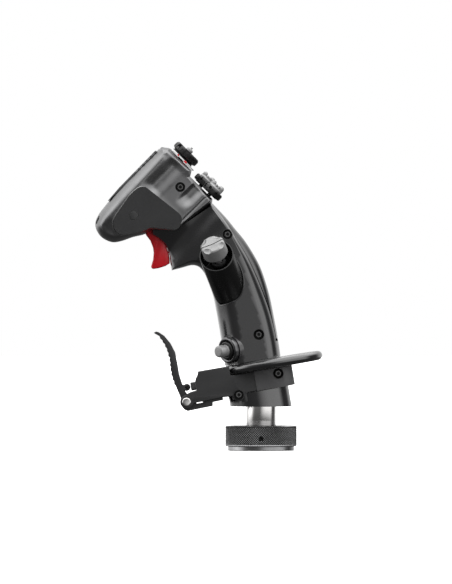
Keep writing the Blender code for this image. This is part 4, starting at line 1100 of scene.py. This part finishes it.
def trim_hat():
    face_seat = hat_seat(TRIM_HAT_UP, 0, TRIM_HAT_FACE)
    profile = [(10.1, 1.4), (11.5, 1.4), (12.0, 1.0), (12.0, 0.3), (10.1, 0.3)]
    place(smoothed(turned("trim_hat_ring_skin", profile, face_seat, 128, 0.2), 35), "trim_hat_ring")
    marks = block((-12.15, -4.9, 0.35), (-10.3, -2.7, 1.55))
    marks = block((-12.12, 2.6, 0.4), (-11.2, 3.8, 1.45), marks)
    marks = soften(solid("trim_hat_ring_marks", marks, face_seat), 0.15)
    attach(marks, "trim_hat_ring", slot="trigger_red")

    pivot = hat_seat(TRIM_HAT_UP, 0, TRIM_HAT_FACE - 2.8)
    boot("trim_hat_boot", 9.9, 4.1, 5.6, pivot, "trim_hat_cap")

    profile = [
        (0, 6.6),
        (3.0, 6.6),
        (3.3, 9.2),
        (5.4, 9.5),
        (6.2, 10.9),
        (9.5, 10.9),
        (10.35, 10.0),
        (10.35, 6.4),
        (9.2, 5.7),
        (6.9, 5.2),
        (2.4, 5.2),
        (2.4, -2.0),
        (0, -2.0),
    ]
    cap = turned("trim_hat_cap_skin", profile, pivot, 128, 0.4)
    carve(
        cap,
        around(4, (5.8, -1.5, 8.3), (12, 1.5, 12), pivot, math.pi / 4),
        around(4, (6.6, -2.4, 9.7), (12, 2.4, 12), pivot),
        around(24, (9.95, -0.45, 6.9), (12, 0.45, 8.9), pivot, 0.13),
    )
    place(soften(cap, 0.22, angle=30), "trim_hat_cap")

    profile = [(0, 6.7), (0.75, 6.7), (0.75, 5.5), (2.0, 5.3), (2.6, 4.6), (2.6, 1.2)]
    profile += [(2.2, 0.6), (2.2, 0), (0, 0)]
    nub = turned("trim_hat_nub_skin", profile, hat_seat(TRIM_HAT_UP, 0, TRIM_HAT_FACE + 4.8), 64, 0.2)
    place(smoothed(nub, 50), "trim_hat_nub")


def lower_hats():
    for name, (up, across) in LOWER_HATS.items():
        pivot = hat_seat(up, across, LOWER_HAT_PIVOT)
        profile = [
            (0, 7.6),
            (5.4, 7.6),
            (5.9, 9.0),
            (6.9, 9.0),
            (7.7, 8.2),
            (7.7, 5.1),
            (7.0, 4.4),
            (1.5, 4.4),
            (1.5, -1.8),
            (0, -1.8),
        ]
        skirt = turned(name + "_hat_skirt_skin", profile, pivot, 96, 0.3)
        carve(
            skirt,
            around(8, (5.6, -0.9, 6.6), (10, 0.9, 12), pivot, 0.39),
            around(16, (7.35, -0.5, 5.3), (10, 0.5, 6.4), pivot, 0.2),
        )
        place(soften(skirt, 0.2, angle=30), name + "_hat_skirt")
        boot(name + "_hat_boot", 6.9, 3.95, 4.7, pivot, name + "_hat_skirt")
        profile = [(0, 11.2), (3.2, 11.2), (4.9, 10.6), (5.35, 9.9), (5.35, 9.3), (5.0, 7.9), (0, 7.9)]
        crown = turned(name + "_hat_crown_skin", profile, pivot, 64, 0.2)
        for spot in KNOBS:
            join(crown, knob(*spot, pivot))
        place(smoothed(crown, 40), name + "_hat_crown")


def side_hat():
    axis = Vector(SIDE_HAT_AXIS).normalized()
    profile = [(11.3, 8.0), (SIDE_TUBE, 8.0), (SIDE_TUBE, -36), (4.5, -36), (4.5, -12), (10.9, -12)]
    tube = turned("side_hat_housing_skin", profile, seat(SIDE_HAT_RIM, axis), 160, 0)
    carve(tube, box((-25, -25, 0), (25, 25, 25), seat(SIDE_HAT_RIM, SIDE_HAT_MOUTH)))
    place(soften(tube, 0.25, 4, 40), "side_hat_housing", TUBE_BLACK)

    pivot = seat(Vector(SIDE_HAT_RIM) + axis * SIDE_HAT_PIVOT, axis)
    profile = [(0, 17.4), (7.4, 18.1), (8.5, 17.2), (8.8, 8.1), (2.4, 8.1), (2.4, -2.4), (0, -2.4)]
    cap = turned("side_hat_cap_skin", profile, pivot, 96, 0.5)
    turn = 0.6
    tools = [box((-12, -0.45, 15.6), (12, 0.45, 21), pivot @ Matrix.Rotation(turn, 4, "Z"))]
    for number in range(4):
        angle = math.pi / 4 + number * math.pi / 2 + turn
        way = axis.to_track_quat("Z", "Y") @ Vector((math.cos(angle), math.sin(angle), 0))
        spot = Vector(SIDE_HAT_RIM) + axis * (SIDE_HAT_PIVOT + 21.0) + way * 8.6
        tools.append(turned("cutter", ball(4.8), seat(spot, axis), 48, 0))
    carve(cap, *tools)
    place(soften(cap, 0.18, angle=30), "side_hat_cap")


def ball(radius):
    turns = [math.radians(90 - 10 * step) for step in range(19)]
    return [(max(0, radius * math.cos(turn)), radius * math.sin(turn)) for turn in turns]


def pinky_button():
    axis = Vector(PINKY_AXIS).normalized()
    face_seat = seat(PINKY_SEAT, axis)
    profile = [(6.6, 3.6), (7.9, 4.1), (8.9, 3.6), (9.25, 2.6), (9.25, 0.3), (6.6, 0.3)]
    place(smoothed(turned("pinky_bezel_skin", profile, face_seat, 96, 0.4), 50), "pinky_bezel")
    profile = [
        (4.6, 5.0),
        (5.6, 5.0),
        (6.2, 4.4),
        (6.2, 0.3),
        (5.8, 0.3),
        (5.8, -8.5),
        (1.2, -8.5),
        (1.2, -7.0),
        (4.6, -7.0),
    ]
    place(smoothed(turned("pinky_body_skin", profile, face_seat, 64, 0.3), 50), "pinky_body")
    foot = seat(Vector(PINKY_SEAT) - axis * 4.2, axis)
    profile = [(0, 16.5), (3.1, 16.5), (4.0, 15.9), (4.2, 14.9), (4.2, 10.6), (3.9, 10.3), (3.9, 9.9)]
    profile += [(4.2, 9.6), (4.2, 0), (0, 0)]
    place(smoothed(turned("pinky_button_skin", profile, foot, 64, 0.25), 50), "pinky_button")


# ---- Head fittings -----------------------------------------------------------------------------
PANEL_EDGE = [
    (67.0, 190.9),
    (71.0, 190.2),
    (73.4, 187.5),
    (77.0, 157.5),
    (76.0, 153.3),
    (70.0, 150.6),
    (67.0, 151.6),
    (55.6, 165.4),
    (50.0, 167.2),
    (42.0, 172.4),
    (37.5, 175.6),
    (36.6, 181.0),
    (38.6, 185.0),
    (42.6, 187.6),
    (48.0, 188.6),
    (62.0, 191.0),
]
PANEL_ROUND = 2.2
PANEL_PLUG = (53.3, 179.2)


def panels():
    outline = filleted(PANEL_EDGE, PANEL_ROUND, 5, True)
    plug_x, plug_z = head_point(*PANEL_PLUG)
    for side, hand in ((-1, "left"), (1, "right")):
        low, high = sorted((side * 23.3, side * 24.8))
        panel = extruded("head_panel_" + hand + "_skin", outline[::-1], low, high, HEAD_TURN)
        carve(panel, rod(3.3, -30, 30, (plug_x, 0, plug_z), (0, 1, 0), 48))
        place(soften(panel, 0.5, 4, 40), "head_panel_" + hand, PANEL_BLACK)
        # The bead round the panel takes the lighter rim finish, which paints a highlight along the panel's
        # edge.
        edge = [HEAD_TURN @ Vector((x, side * 23.5, z)) for x, z in outline]
        edge = [point + Vector((-0.45, 0, -0.15)) for point in edge]
        rim = bpy.data.objects.new("head_panel_rim_" + hand, bead(edge, 0.42))
        bpy.context.scene.collection.objects.link(rim)
        attach(smoothed(rim, 35), "head_shell_" + hand, RIM_PAINTED_HIGHLIGHT)


def ridge():
    """The strip on the slanted front, with a row of slots along its left edge."""
    outline = [(48.0, 198.8), (96.2, 199.2), (96.6, 200.2), (96.0, 200.7), (60.0, 200.3), (48.0, 199.4)]
    cover = extruded("head_ridge_cover_skin", outline, -8.5, 8.5, HEAD_TURN)
    slots = []
    for number in range(5):
        along = 76 + number * 4.0
        slots.append(box((along, -9, 199.9), (along + 2.2, -7.6, 202), HEAD_TURN))
    carve(cover, *slots)
    place(soften(cover, 0.4, 4, 30), "head_ridge_cover")


# ---- The whole object --------------------------------------------------------------------------
camera()
studio()
floor()

coupling_ring()
collar()
hand_rest()
grip()
head()
panels()
ridge()
trim_hat()
lower_hats()
side_hat()
pinky_button()
sockets()

for node in sorted(set(frame["nodes"]) - shaped):
    if node in ("lever_spring", "trigger_spring", "wiring_loom"):
        obj = frame["nodes"][node]
        obj.data.materials.clear()
        obj.data.materials.append(materials[slot_of_node[node]])
    elif node == "base_housing":
        refined(node, HOUSING_GREY)
    else:
        refined(node)
